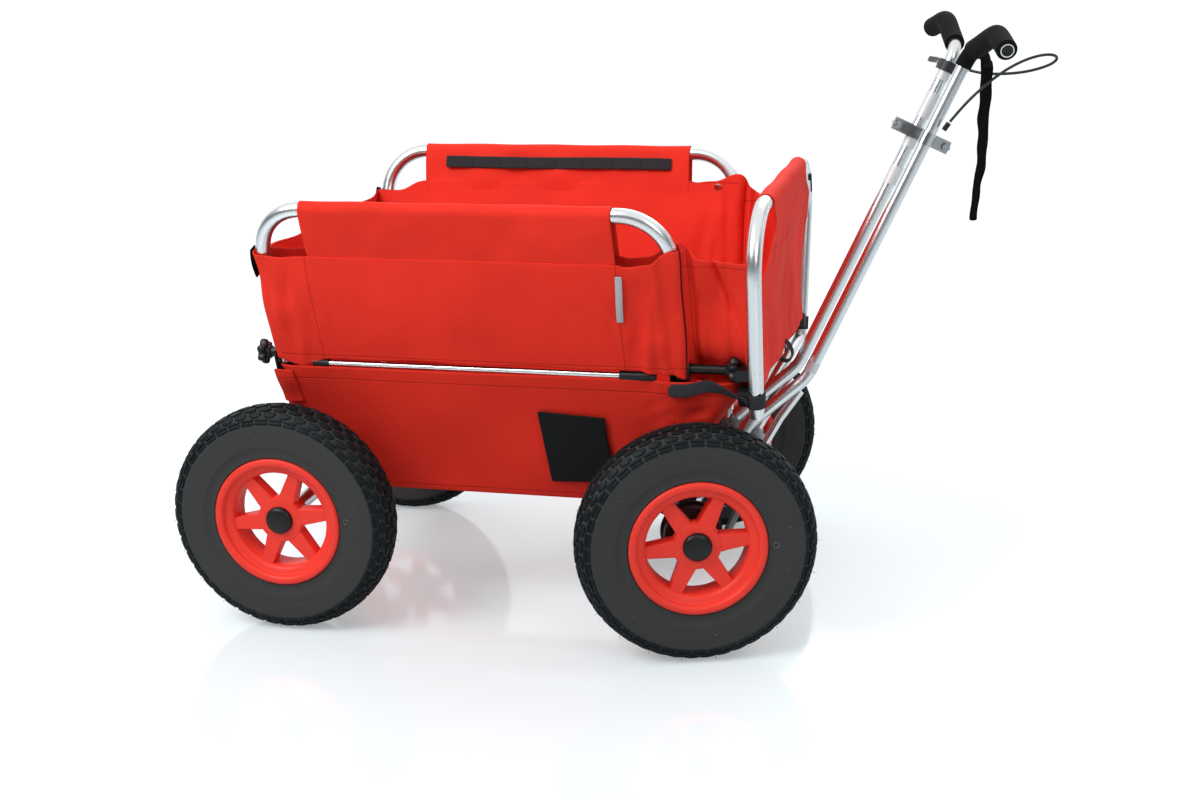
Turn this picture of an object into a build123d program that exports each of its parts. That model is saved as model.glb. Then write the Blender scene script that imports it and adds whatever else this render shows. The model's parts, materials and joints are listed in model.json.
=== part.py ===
"""Beach cart: a folding wagon with four pneumatic wheels, a fabric tub and a steered pull handle.

Everything is drawn in a working frame: X forward from the rear axle, Y from the centre plane
(the near side is -Y), Z up from the ground.  The last step moves the whole cart so that the
middle of its footprint is the origin.  Front wheels and handle are drawn straight ahead and
then turned to the stored steering angle.
"""
import os
from math import cos, radians, sin, tan

from build123d import *

# ---------------------------------------------------------------- driving dimensions (mm, degrees)
TYRE_RADIUS = 200.0
TYRE_WIDTH = 86.0
RIM_FLANGE_RADIUS = 113.0
RIM_SEAT_RADIUS = 101.0
RIM_HALF_WIDTH = 35.0
TUBE_RADIUS = 12.5            # frame tube
TUBE_WALL = 1.5
FRAME_LEAN = 16.0             # side frames lean outwards
RAIL_HEIGHT = 738.0
RAIL_HALF_SPREAD = 312.56
HINGE_HEIGHT = 474.0
REAR_LEG_X = -6.0
FRONT_LEG_X = 688.0
HOOP_BEND = 80.0
REAR_TRACK_HALF = 306.0
KINGPIN_X = 680.0
KINGPIN_HALF = 180.0
KINGPIN_OFFSET = 130.0        # kingpin axis to the wheel's middle plane
STEER_REST = 19.0
HANDLE_TUBE_RADIUS = 11.0
HANDLE_HALF_GAP = 40.5        # handle tube to the handle's centre plane
TILT_U, TILT_Z = 66.0, 262.0  # handle pivot, ahead of the steering axis
NOSE_X = 819.0
FABRIC = 3.0
FIT = 0.05                    # radial clearance of a running fit

AXLE_Z = TYRE_RADIUS
BEAM_RADIUS = 14.0
AXLE_RADIUS = 8.0
LEAN_TAN = tan(radians(FRAME_LEAN))
HINGE_HALF = RAIL_HALF_SPREAD - LEAN_TAN * (RAIL_HEIGHT - HINGE_HEIGHT)
HOOP_RISE = (RAIL_HEIGHT - HINGE_HEIGHT) / cos(radians(FRAME_LEAN))
BOLT_RADIUS = 5.0
LEG_XS = (REAR_LEG_X, FRONT_LEG_X)
SIDES = {"near": -1, "far": 1}
TUB_FLOOR_Z = 216.0
TUB_TOP_Z = 446.0
TUB_OFFSET = 20.5             # outer face of the tub wall, outside the leg axes
TUB_REAR_X = -27.0
NOSE_FOOT_X = 620.0
CROSS_TUBE_X, CROSS_TUBE_Z = 804.0, 437.0
STEER_ARM = 60.0
ARM_Z, PIN_Z, TIE_ROD_Z = 149.0, 138.0, 140.0

nodes = {}
STEERED = Rot(0, 0, STEER_REST)


# ---------------------------------------------------------------- helpers
def rod(start, end, radius, wall=0.0):
    """Round bar, or tube if it has a wall, from start to end."""
    line = Line(start, end)
    plane = Plane(origin=line @ 0, z_dir=line % 0)
    section = Circle(radius) - Circle(radius - wall) if wall else Circle(radius)
    return extrude(plane * section, (Vector(*end) - Vector(*start)).length)


def bent_tube(points, radii, radius, wall=0.0):
    """Tube along straight runs joined by arcs."""
    path = FilletPolyline(*points, radius=radii)
    section = Circle(radius) - Circle(radius - wall) if wall else Circle(radius)
    return sweep(Plane(origin=path @ 0, z_dir=path % 0) * section, path)


def block(low, high):
    """Box between two corners."""
    size = [b - a for a, b in zip(low, high)]
    return Pos(*[(a + b) / 2 for a, b in zip(low, high)]) * Box(*size)


def post(x, y, z_low, z_high, radius):
    """Upright cylinder."""
    return rod((x, y, z_low), (x, y, z_high), radius)


def group(*solids):
    """Several separate solids kept in one node."""
    return Compound(children=[s for part in solids for s in part.solids()])


def whole(shape):
    """The shape as one clean part."""
    solids = shape.solids()
    return solids[0] if len(solids) == 1 else Compound(children=list(solids))


def leg_y(z, side):
    """Y of a leaning leg's axis at height z."""
    return side * (RAIL_HALF_SPREAD - LEAN_TAN * (RAIL_HEIGHT - z))


def leaning_plane(side, height=HINGE_HEIGHT):
    """Sketch plane in a side frame: local x is cart X, local y runs up the leg, z points outwards."""
    up = Vector(0, side * sin(radians(FRAME_LEAN)), cos(radians(FRAME_LEAN)))
    out = Vector(0, side * cos(radians(FRAME_LEAN)), -sin(radians(FRAME_LEAN)))
    x_dir = Vector(1, 0, 0) if up.cross(out).X > 0 else Vector(-1, 0, 0)
    return Plane(origin=(0, leg_y(height, side), height), x_dir=x_dir, z_dir=out)


def leaning_slab(side, x_low, x_high, up_low, up_high, out_low, out_high):
    """Slab parallel to a side frame, sized along the cart, up the leg and outwards."""
    plane = leaning_plane(side)
    sign = plane.x_dir.X
    middle = sign * (x_low + x_high) / 2
    sketch = Pos(middle, (up_low + up_high) / 2) * Rectangle(x_high - x_low, up_high - up_low)
    return extrude(plane.offset(out_low) * sketch, out_high - out_low)


# ---------------------------------------------------------------- wheels
def wheel_parts():
    """Tyre, rim and hub cap about the Y axis, outboard towards -Y."""
    half = TYRE_WIDTH / 2
    bead = RIM_HALF_WIDTH - 4
    wall_top, wall_foot = 148.0, 116.0
    carcass = Polyline((RIM_SEAT_RADIUS, -bead), (wall_foot, -bead - 3), (wall_top, -half + 1),
                       (178, -half + 2), (192, -half + 9), (TYRE_RADIUS - 1, -22), (TYRE_RADIUS, 0))
    profile = carcass + mirror(carcass, Plane.XZ) + Line((RIM_SEAT_RADIUS, -bead), (RIM_SEAT_RADIUS, bead))
    hollow = Polyline((RIM_SEAT_RADIUS, -bead + 6), (150, -half + 7), (180, -half + 10), (191, -20), (191, 20),
                      (180, half - 10), (150, half - 7), (RIM_SEAT_RADIUS, bead - 6), close=True)
    tyre = revolve(make_face(profile) - make_face(hollow), Axis.Y)
    seat = RIM_SEAT_RADIUS
    barrel = Polyline((seat, -bead + 0.5), (seat, bead - 0.5), (RIM_FLANGE_RADIUS - 4, RIM_HALF_WIDTH - 3),
                      (RIM_FLANGE_RADIUS, RIM_HALF_WIDTH - 1), (RIM_FLANGE_RADIUS, RIM_HALF_WIDTH + 3),
                      (seat - 6, RIM_HALF_WIDTH + 3), (seat - 7, 20), (seat - 7, -20),
                      (seat - 6, -RIM_HALF_WIDTH - 3), (RIM_FLANGE_RADIUS, -RIM_HALF_WIDTH - 3),
                      (RIM_FLANGE_RADIUS, -RIM_HALF_WIDTH + 1), (RIM_FLANGE_RADIUS - 4, -RIM_HALF_WIDTH + 3),
                      close=True)
    rim = revolve(make_face(barrel), Axis.Y)
    tyre = tyre - rim
    hub_radius, hub_out, hub_in = 25.0, -20.0, 24.0
    rim += rod((0, hub_out, 0), (0, hub_in, 0), hub_radius)
    spokes = 6
    for index in range(spokes):
        plate = make_face(Polyline((20, -17), (seat - 5, -9), (seat - 5, 9), (20, 17), close=True))
        spoke = extrude(Plane(origin=(0, -10, 0), x_dir=(1, 0, 0), z_dir=(0, 1, 0)) * plate, 7)
        spoke += block((20, -4, -3), (seat - 5, 16, 3))
        rim += Rot(0, index * 360 / spokes, 0) * spoke
    rim -= rod((0, -60, 0), (0, 60, 0), AXLE_RADIUS + FIT)
    cap_radius = 23.5
    cap = rod((0, hub_out - 9, 0), (0, hub_out, 0), cap_radius)
    cap = fillet(cap.edges().filter_by(GeomType.CIRCLE).sort_by(Axis.Y)[0], 4)
    return {"tyre": tyre, "rim": rim, "hub_cap": cap}


def brake_drum():
    """Brake drum fixed to the inboard side of a front rim."""
    drum = rod((0, 24, 0), (0, 44, 0), 48) - rod((0, 28, 0), (0, 44, 0), 42)
    return drum - rod((0, 0, 0), (0, 60, 0), AXLE_RADIUS + FIT)


def facing(side):
    """Turns a wheel so that its outboard face looks away from the cart."""
    return Rot(0, 0, 180) if side > 0 else Rot(0, 0, 0)


def front_hub(side):
    """Place of a front wheel's centre, steering straight ahead."""
    return Pos(KINGPIN_X, side * (KINGPIN_HALF + KINGPIN_OFFSET), AXLE_Z)


def steer_about(y, part):
    """Turns a part about the upright axis at the kingpin line by the stored steering angle."""
    return Pos(KINGPIN_X, y, 0) * STEERED * Pos(-KINGPIN_X, -y, 0) * part


def add_wheels():
    """Rear wheels on the rear axle, front wheels on their knuckles."""
    for word, side in SIDES.items():
        for name, part in wheel_parts().items():
            nodes[f"{name}_rear_{word}"] = Pos(0, side * REAR_TRACK_HALF, AXLE_Z) * facing(side) * part
            placed = front_hub(side) * facing(side) * part
            nodes[f"{name}_front_{word}"] = steer_about(side * KINGPIN_HALF, placed)
        drum = front_hub(side) * facing(side) * brake_drum()
        nodes[f"brake_drum_{word}"] = steer_about(side * KINGPIN_HALF, drum)


# ---------------------------------------------------------------- lower frame
BEAM_END = REAR_TRACK_HALF - 50.0
HOUSING_RADIUS, HOUSING_LOW, HOUSING_HIGH = 17.0, 163.0, 237.0
KINGPIN_RADIUS = 8.0
RAIL_HALF = 58.0


def housing(y):
    """Upright bearing housing in the front beam."""
    return post(KINGPIN_X, y, HOUSING_LOW, HOUSING_HIGH, HOUSING_RADIUS)


def add_lower_frame():
    """Axle beams, rails, housings, gussets and the lower legs."""
    rear = rod((0, -BEAM_END, AXLE_Z), (0, BEAM_END, AXLE_Z), BEAM_RADIUS)
    rear -= rod((0, -BEAM_END, AXLE_Z), (0, -BEAM_END + 60, AXLE_Z), AXLE_RADIUS)
    rear -= rod((0, BEAM_END - 60, AXLE_Z), (0, BEAM_END, AXLE_Z), AXLE_RADIUS)
    nodes["rear_axle_beam"] = rear
    stubs = [rod((0, s * (BEAM_END - 60), AXLE_Z), (0, s * (REAR_TRACK_HALF + 20), AXLE_Z), AXLE_RADIUS)
             for s in SIDES.values()]
    nodes["rear_stub_axles"] = group(*stubs)

    front = rod((KINGPIN_X, -KINGPIN_HALF, AXLE_Z), (KINGPIN_X, KINGPIN_HALF, AXLE_Z), BEAM_RADIUS)
    housings = [housing(y) for y in (-KINGPIN_HALF, 0, KINGPIN_HALF)]
    for solid in housings:
        front -= solid
    nodes["front_axle_beam"] = group(front)
    bores = [post(KINGPIN_X, y, 100, 300, KINGPIN_RADIUS + FIT) for y in (-KINGPIN_HALF, 0, KINGPIN_HALF)]

    rear_cut = rod((0, -300, AXLE_Z), (0, 300, AXLE_Z), BEAM_RADIUS)
    front_cut = rod((KINGPIN_X, -300, AXLE_Z), (KINGPIN_X, 300, AXLE_Z), BEAM_RADIUS)
    rails = [rod((0, s * RAIL_HALF, AXLE_Z), (KINGPIN_X, s * RAIL_HALF, AXLE_Z), TUBE_RADIUS) - rear_cut - front_cut
             for s in SIDES.values()]
    nodes["bottom_rails"] = group(*rails)

    gusset_low, gusset_high, gusset_half = 256.0, 266.0, 5.0
    gussets = []
    for side in SIDES.values():
        outline = Polyline((190, gusset_low), (190, gusset_high), (126, gusset_high), (126, 207), (148, 207),
                           (148, gusset_low), close=True)
        flat = make_face(Plane(origin=(KINGPIN_X + gusset_half, 0, 0), x_dir=(0, side, 0), z_dir=(side, 0, 0)) * outline)
        gussets.append(extrude(flat, -side * 2 * gusset_half) - front_cut)
    nodes["front_castings"] = group(*[h - b for h, b in zip(housings, bores)], *gussets)

    legs = []
    leg_top = 22.0
    for side in SIDES.values():
        top_z = HINGE_HEIGHT - leg_top * cos(radians(FRAME_LEAN))
        for x, foot_z in ((REAR_LEG_X, AXLE_Z), (FRONT_LEG_X, gusset_high)):
            leg = rod((x, leg_y(foot_z - 20, side), foot_z - 20), (x, leg_y(top_z, side), top_z), TUBE_RADIUS, TUBE_WALL)
            leg = leg - rear_cut - block((x - 50, -400, 0), (x + 50, 400, foot_z))
            legs.append(leg)
    nodes["lower_legs"] = group(*legs)


# ---------------------------------------------------------------- side hoops and their hinges
EAR_GAP, EAR_THICK = TUBE_RADIUS + 1.0, 3.0


def hinge_bracket(x, side):
    """Collar on a lower leg with two ears that hold the hinge bolt."""
    wide = EAR_GAP + EAR_THICK
    body = leaning_slab(side, x - wide, x + wide, -46, -2, -15.5, 15.5) + hinge_pin(x - wide, x + wide, side, 14.5)
    body -= leaning_slab(side, x - EAR_GAP, x + EAR_GAP, -23, 40, -30, 30)
    body -= rod((x, leg_y(300, side), 300), (x, leg_y(500, side), 500), TUBE_RADIUS)
    return body - hinge_pin(x - 60, x + 60, side)


def hinge_pin(x_low, x_high, side, radius=BOLT_RADIUS):
    """Round bar along X on a side hoop's fold axis."""
    y = leg_y(HINGE_HEIGHT, side)
    return rod((x_low, y, HINGE_HEIGHT), (x_high, y, HINGE_HEIGHT), radius)


def star_knob(x_low, x_high, side):
    """Six-lobed clamping knob on a hinge bolt."""
    lobes, knob_radius, dish = 6, 19.0, 3.5
    y = leg_y(HINGE_HEIGHT, side)
    knob = rod((x_low, y, HINGE_HEIGHT), (x_high, y, HINGE_HEIGHT), knob_radius)
    for index in range(lobes):
        angle = radians(index * 360 / lobes)
        centre_y, centre_z = y + 16 * cos(angle), HINGE_HEIGHT + 16 * sin(angle)
        knob += rod((x_low + 1, centre_y, centre_z), (x_high - 1, centre_y, centre_z), 6.5)
    knob -= rod((x_low, y, HINGE_HEIGHT), (x_low + dish, y, HINGE_HEIGHT), 8)
    return knob - hinge_pin(x_low - 50, x_high + 50, side, BOLT_RADIUS + FIT)


REAR_KNOB = (-50.0, -32.0)
FRONT_KNOB = (764.0, 782.0)
LINK_BLOCK = (784.0, 806.0)
PANEL_OUT, POCKET_OUT = 13.0, 28.0
SLEEVE_X = (76.0, 600.0)
POCKET_TOP, POCKET_FOOT = HOOP_RISE - 73.5, -3.0


def add_side_hoops():
    """Hoops, panels, rods, hinges and knobs on both sides."""
    brackets, bolts, spacers = [], [], []
    for word, side in SIDES.items():
        plane = leaning_plane(side)
        sign = plane.x_dir.X
        ends = [plane.from_local_coords((sign * x, up, 0)) for x, up in
                ((REAR_LEG_X, -13), (REAR_LEG_X, HOOP_RISE), (FRONT_LEG_X, HOOP_RISE), (FRONT_LEG_X, -13))]
        hoop = bent_tube(ends, HOOP_BEND, TUBE_RADIUS, TUBE_WALL)
        nodes[f"side_hoop_{word}"] = hoop - hinge_pin(-60, 800, side, BOLT_RADIUS + FIT)

        sheet = leaning_slab(side, *SLEEVE_X, POCKET_TOP - 6, HOOP_RISE, PANEL_OUT, PANEL_OUT + FABRIC)
        sleeve = [plane.from_local_coords((sign * x, HOOP_RISE, 0)) for x in SLEEVE_X]
        sheet += rod(sleeve[0], sleeve[1], PANEL_OUT + FABRIC)
        sheet -= rod(sleeve[0], sleeve[1], TUBE_RADIUS)
        pocket = leaning_slab(side, -24, 706, POCKET_FOOT, POCKET_TOP, PANEL_OUT + FABRIC, POCKET_OUT)
        pocket -= leaning_slab(side, -21, 703, POCKET_FOOT + 3, POCKET_TOP + 9, PANEL_OUT + 2 * FABRIC, POCKET_OUT - FABRIC)
        nodes[f"side_panel_{word}"] = whole(sheet + pocket)

        rod_out, rod_up = 11.0, -11.5
        def on_rod(x):
            return plane.from_local_coords((sign * x, rod_up, rod_out))
        nodes[f"side_rod_{word}"] = rod(on_rod(60), on_rod(644), 5.0)
        sleeves = [rod(on_rod(a), on_rod(b), 8.0) - rod(on_rod(50), on_rod(660), 5.0) for a, b in ((48, 76), (588, 648))]
        nodes[f"rod_sleeves_{word}"] = group(*sleeves)

        for x in LEG_XS:
            brackets.append(hinge_bracket(x, side))
        bolts += [hinge_pin(REAR_KNOB[0] + 6, REAR_LEG_X + 24, side), hinge_pin(FRONT_LEG_X - 24, LINK_BLOCK[1] - 4, side)]
        spacers.append(hinge_pin(FRONT_LEG_X + 17, FRONT_KNOB[0] - 0.5, side, 8.5) - hinge_pin(0, 900, side))
        spacers.append(hinge_pin(REAR_KNOB[1] + 0.5, REAR_LEG_X - 17, side, 8.5) - hinge_pin(-90, 90, side))
        nodes[f"star_knob_rear_{word}"] = star_knob(*REAR_KNOB, side)
        nodes[f"star_knob_front_{word}"] = star_knob(*FRONT_KNOB, side)
    nodes["hinge_brackets"] = group(*brackets)
    nodes["hinge_bolts"] = group(*bolts)
    nodes["hinge_spacers"] = group(*spacers)


# ---------------------------------------------------------------- front hoop
NOSE_LEAN, NOSE_TAPER = 0.0125, 0.19
NOSE_RISE = 2.0               # front hoop's top above the side rails
NOSE_FOOT_Z = 402.0
NOSE_HALF = 313.72
STAY_POINTS = ((806, 172, 392), (768, 125, 328), (688, 112, 212))


def nose_x(z):
    """X of the front hoop's axis at height z."""
    return NOSE_X - NOSE_LEAN * (RAIL_HEIGHT - z)


def nose_y(z, side):
    """Y of a front hoop leg's axis at height z."""
    return side * (NOSE_HALF - NOSE_TAPER * (RAIL_HEIGHT - z))


def nose_point(z, side):
    """Point on a front hoop leg's axis."""
    return nose_x(z), nose_y(z, side), z


def add_front_hoop():
    """Front hoop, its cross tube, its stays to the beam and its links to the corner legs."""
    top_z = RAIL_HEIGHT + NOSE_RISE
    hoop = bent_tube([nose_point(NOSE_FOOT_Z, -1), nose_point(top_z, -1), nose_point(top_z, 1), nose_point(NOSE_FOOT_Z, 1)],
                     95, TUBE_RADIUS, TUBE_WALL)
    nodes["front_hoop"] = hoop
    legs = [rod(nose_point(NOSE_FOOT_Z - 40, s), nose_point(600, s), TUBE_RADIUS) for s in SIDES.values()]
    cross = rod((CROSS_TUBE_X, nose_y(CROSS_TUBE_Z, -1), CROSS_TUBE_Z), (CROSS_TUBE_X, nose_y(CROSS_TUBE_Z, 1), CROSS_TUBE_Z),
                TUBE_RADIUS)
    nodes["front_cross_tube"] = whole(cross - legs[0] - legs[1])
    beam = rod((KINGPIN_X, -300, AXLE_Z), (KINGPIN_X, 300, AXLE_Z), BEAM_RADIUS)
    stays, links = [], []
    for side, leg in zip(SIDES.values(), legs):
        foot_x, foot_y, foot_z = nose_point(NOSE_FOOT_Z, side)
        points = [(foot_x, foot_y, foot_z + 6)] + [(x, side * y, z) for x, y, z in STAY_POINTS]
        stays.append(bent_tube(points, [26, 50], 10) - leg - beam)
        y = leg_y(HINGE_HEIGHT, side)
        low_y, high_y = sorted((y - side * 14, nose_y(HINGE_HEIGHT, side) + side * 6))
        link = block((LINK_BLOCK[0], low_y, HINGE_HEIGHT - 9), (LINK_BLOCK[1], high_y, HINGE_HEIGHT + 9))
        links.append(link - leg - hinge_pin(700, 900, side))
    nodes["front_hoop_stays"] = group(*stays)
    nodes["front_hoop_links"] = group(*links)


# ---------------------------------------------------------------- fabric
def side_profile(inset, top):
    """Side view of the tub's lower half, drawn in X and Z and run across the cart."""
    outline = Polyline((TUB_REAR_X + inset, TUB_FLOOR_Z + inset), (NOSE_FOOT_X, TUB_FLOOR_Z + inset),
                       (CROSS_TUBE_X - 20 - inset, CROSS_TUBE_Z - 8), (CROSS_TUBE_X - 16 - inset, top),
                       (TUB_REAR_X + inset, top), close=True)
    return extrude(Plane.XZ * make_face(outline), 500, both=True)


def end_profile(inset, top):
    """End view of the tub, drawn in Y and Z and run along the cart."""
    out = TUB_OFFSET / cos(radians(FRAME_LEAN)) - inset
    low, high = leg_y(TUB_FLOOR_Z, 1) + out, leg_y(top, 1) + out
    outline = Polyline((-low, TUB_FLOOR_Z), (low, TUB_FLOOR_Z), (high, top), (-high, top), close=True)
    return extrude(Plane(origin=(-100, 0, 0), x_dir=(0, 1, 0), z_dir=(1, 0, 0)) * make_face(outline), 1100)


def add_fabric():
    """Tub, floor board, upper end panels and the nose."""
    outer = side_profile(0, TUB_TOP_Z) & end_profile(0, TUB_TOP_Z)
    inner = side_profile(FABRIC, TUB_TOP_Z + 20) & end_profile(FABRIC, TUB_TOP_Z + 20)
    tub = outer - inner
    for side in SIDES.values():
        for x in LEG_XS:
            tub -= rod((x, leg_y(180, side), 180), (x, leg_y(430, side), 430), TUBE_RADIUS + 0.5)
    nodes["tub"] = whole(tub)
    board_half, board_z = 132.0, TUB_FLOOR_Z + FABRIC
    nodes["floor_board"] = block((12, -board_half, board_z), (588, board_half, board_z + 6))

    panel_foot, panel_top = TUB_TOP_Z + 3, 680.0
    panels = []
    for side in SIDES.values():
        foot, top = abs(leg_y(panel_foot, 1)) + 14, abs(leg_y(panel_top, 1)) + 14
        outline = Polyline((side * 2, panel_foot), (side * foot, panel_foot), (side * top, panel_top), (side * 2, panel_top), close=True)
        flat = Plane(origin=(TUB_REAR_X, 0, 0), x_dir=(0, 1, 0), z_dir=(1, 0, 0)) * make_face(outline)
        panel = extrude(flat, FABRIC)
        panels.append(panel - hinge_pin(-90, 90, side, 11))
        panels.append(leaning_slab(side, 708, 796, 34, 205, 2, 2 + FABRIC))
    nodes["upper_end_panels"] = group(*panels)

    top_z = RAIL_HEIGHT + NOSE_RISE
    flap_half_top, flap_half_foot = 190.0, 225.0
    outline = Polyline((-flap_half_foot, CROSS_TUBE_Z + 16), (flap_half_foot, CROSS_TUBE_Z + 16), (flap_half_top, top_z), (-flap_half_top, top_z),
                       close=True)
    lean = Vector(NOSE_LEAN, 0, 1).normalized()
    normal = Vector(0, 1, 0).cross(lean)
    flat = Plane(origin=(nose_x(0) + TUBE_RADIUS + 0.5, 0, 0), x_dir=(0, 1, 0), z_dir=normal)
    flap = extrude(flat * make_face(outline), FABRIC)
    bar = ((nose_x(top_z), -flap_half_top + 40, top_z), (nose_x(top_z), flap_half_top - 40, top_z))
    flap += rod(*bar, TUBE_RADIUS + FABRIC + 0.5)
    nodes["nose_flap"] = whole(flap - rod(*bar, TUBE_RADIUS) - nodes["front_hoop"])


# ---------------------------------------------------------------- steering
def add_steering():
    """Knuckles, steering head and tie rod."""
    head_radius = 20.0
    for word, side in SIDES.items():
        y = side * KINGPIN_HALF
        plate_low, plate_high = (ARM_Z, ARM_Z + 8), (243.0, 251.0)
        knuckle = post(KINGPIN_X, y, ARM_Z, plate_high[1], KINGPIN_RADIUS)
        for low, high in (plate_low, plate_high):
            knuckle += post(KINGPIN_X, y, low, high, head_radius)
            low_y, high_y = sorted((y, y + side * 34))
            knuckle += block((KINGPIN_X - 15, low_y, low), (KINGPIN_X + 15, high_y, high))
        low_y, high_y = sorted((y + side * 26, y + side * 34))
        knuckle += block((KINGPIN_X - 15, low_y, ARM_Z), (KINGPIN_X + 15, high_y, plate_high[1]))
        knuckle += rod((KINGPIN_X, y + side * 30, AXLE_Z), (KINGPIN_X, y + side * (KINGPIN_OFFSET + 16), AXLE_Z), AXLE_RADIUS)
        knuckle += rod((KINGPIN_X, y + side * 76, AXLE_Z), (KINGPIN_X, y + side * 80, AXLE_Z), 52)
        knuckle += rod((KINGPIN_X, y + side * 34, AXLE_Z), (KINGPIN_X, y + side * 76, AXLE_Z), 14)
        knuckle += block((KINGPIN_X, y - 10, ARM_Z), (KINGPIN_X + STEER_ARM, y + 10, ARM_Z + 8))
        knuckle += post(KINGPIN_X + STEER_ARM, y, ARM_Z, ARM_Z + 8, 10)
        knuckle += post(KINGPIN_X + STEER_ARM, y, TIE_ROD_Z - 8, ARM_Z, 4)
        nodes[f"knuckle_{word}"] = steer_about(y, whole(knuckle))

    head = post(KINGPIN_X, 0, ARM_Z, 262, KINGPIN_RADIUS)
    head += post(KINGPIN_X, 0, 243, 262, head_radius)
    head += post(KINGPIN_X, 0, ARM_Z, ARM_Z + 8, head_radius)
    head += block((KINGPIN_X, -10, ARM_Z), (KINGPIN_X + STEER_ARM, 10, ARM_Z + 8))
    head += post(KINGPIN_X + STEER_ARM, 0, ARM_Z, ARM_Z + 8, 10)
    head += post(KINGPIN_X + STEER_ARM, 0, TIE_ROD_Z - 8, ARM_Z, 4)
    head += block((KINGPIN_X, -16, 246), (KINGPIN_X + TILT_U, 16, 262))
    barrel_half, barrel_radius = 33.0, 15.0
    pivot_x = KINGPIN_X + TILT_U
    head += rod((pivot_x, -barrel_half, TILT_Z), (pivot_x, barrel_half, TILT_Z), barrel_radius)
    head -= rod((pivot_x, -80, TILT_Z), (pivot_x, 80, TILT_Z), 6.0)
    nodes["steering_head"] = steer_about(0, whole(head))

    arm = Vector(STEER_ARM, 0, 0).rotate(Axis.Z, STEER_REST)
    pins = [(KINGPIN_X + arm.X, y + arm.Y) for y in (-KINGPIN_HALF, 0, KINGPIN_HALF)]
    bar_x = pins[1][0]
    tie = rod((bar_x, pins[0][1], TIE_ROD_Z), (bar_x, pins[2][1], TIE_ROD_Z), 7)
    for x, y in pins:
        tie += post(x, y, TIE_ROD_Z - 8, TIE_ROD_Z + 8, 11)
    for x, y in pins:
        tie -= post(x, y, 100, 200, 4 + (FIT if y == pins[1][1] else 0.6))
    nodes["tie_rod"] = whole(tie)


# ---------------------------------------------------------------- handle
HANDLE_FOOT = (62.0, 305.0)
HANDLE_KNEE = (176.0, 393.0)
HANDLE_TOP = (449.0, 945.0)
BAR_ELBOW = (459.0, 150.0, 985.0)
BAR_END = (455.0, 225.0, 965.0)
CLAMP_AT = 0.745              # share of the upper run where the clamp sits
LEVER_PIVOT = 27.0            # brake lever's pin, outwards from the far tube's axis


def handle(u, s, z):
    """Working-frame point from handle coordinates: ahead of the steering axis, across, up."""
    return KINGPIN_X + u, s, z


def upper_run(share, s, ahead=0.0):
    """Point on the handle's upper run, and square to it by ahead."""
    du, dz = HANDLE_TOP[0] - HANDLE_KNEE[0], HANDLE_TOP[1] - HANDLE_KNEE[1]
    length = (du * du + dz * dz) ** 0.5
    return handle(HANDLE_KNEE[0] + share * du + ahead * dz / length, s, HANDLE_KNEE[1] + share * dz - ahead * du / length)


def run_plane(share, s):
    """Plane square to the handle's upper run; local x points ahead, local y across to -Y or +Y."""
    start, end = Vector(*upper_run(0, s)), Vector(*upper_run(1, s))
    ahead = Vector(*upper_run(share, s, 1)) - Vector(*upper_run(share, s))
    return Plane(origin=upper_run(share, s), x_dir=ahead, z_dir=end - start)


def bar_points(side):
    """Corners of one handle tube from its foot to the end of its grip."""
    gap = side * HANDLE_HALF_GAP
    return [handle(HANDLE_FOOT[0], gap, HANDLE_FOOT[1]), handle(HANDLE_KNEE[0], gap, HANDLE_KNEE[1]),
            handle(HANDLE_TOP[0], gap, HANDLE_TOP[1]), handle(BAR_ELBOW[0], side * BAR_ELBOW[1], BAR_ELBOW[2]),
            handle(BAR_END[0], side * BAR_END[1], BAR_END[2])]


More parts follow.
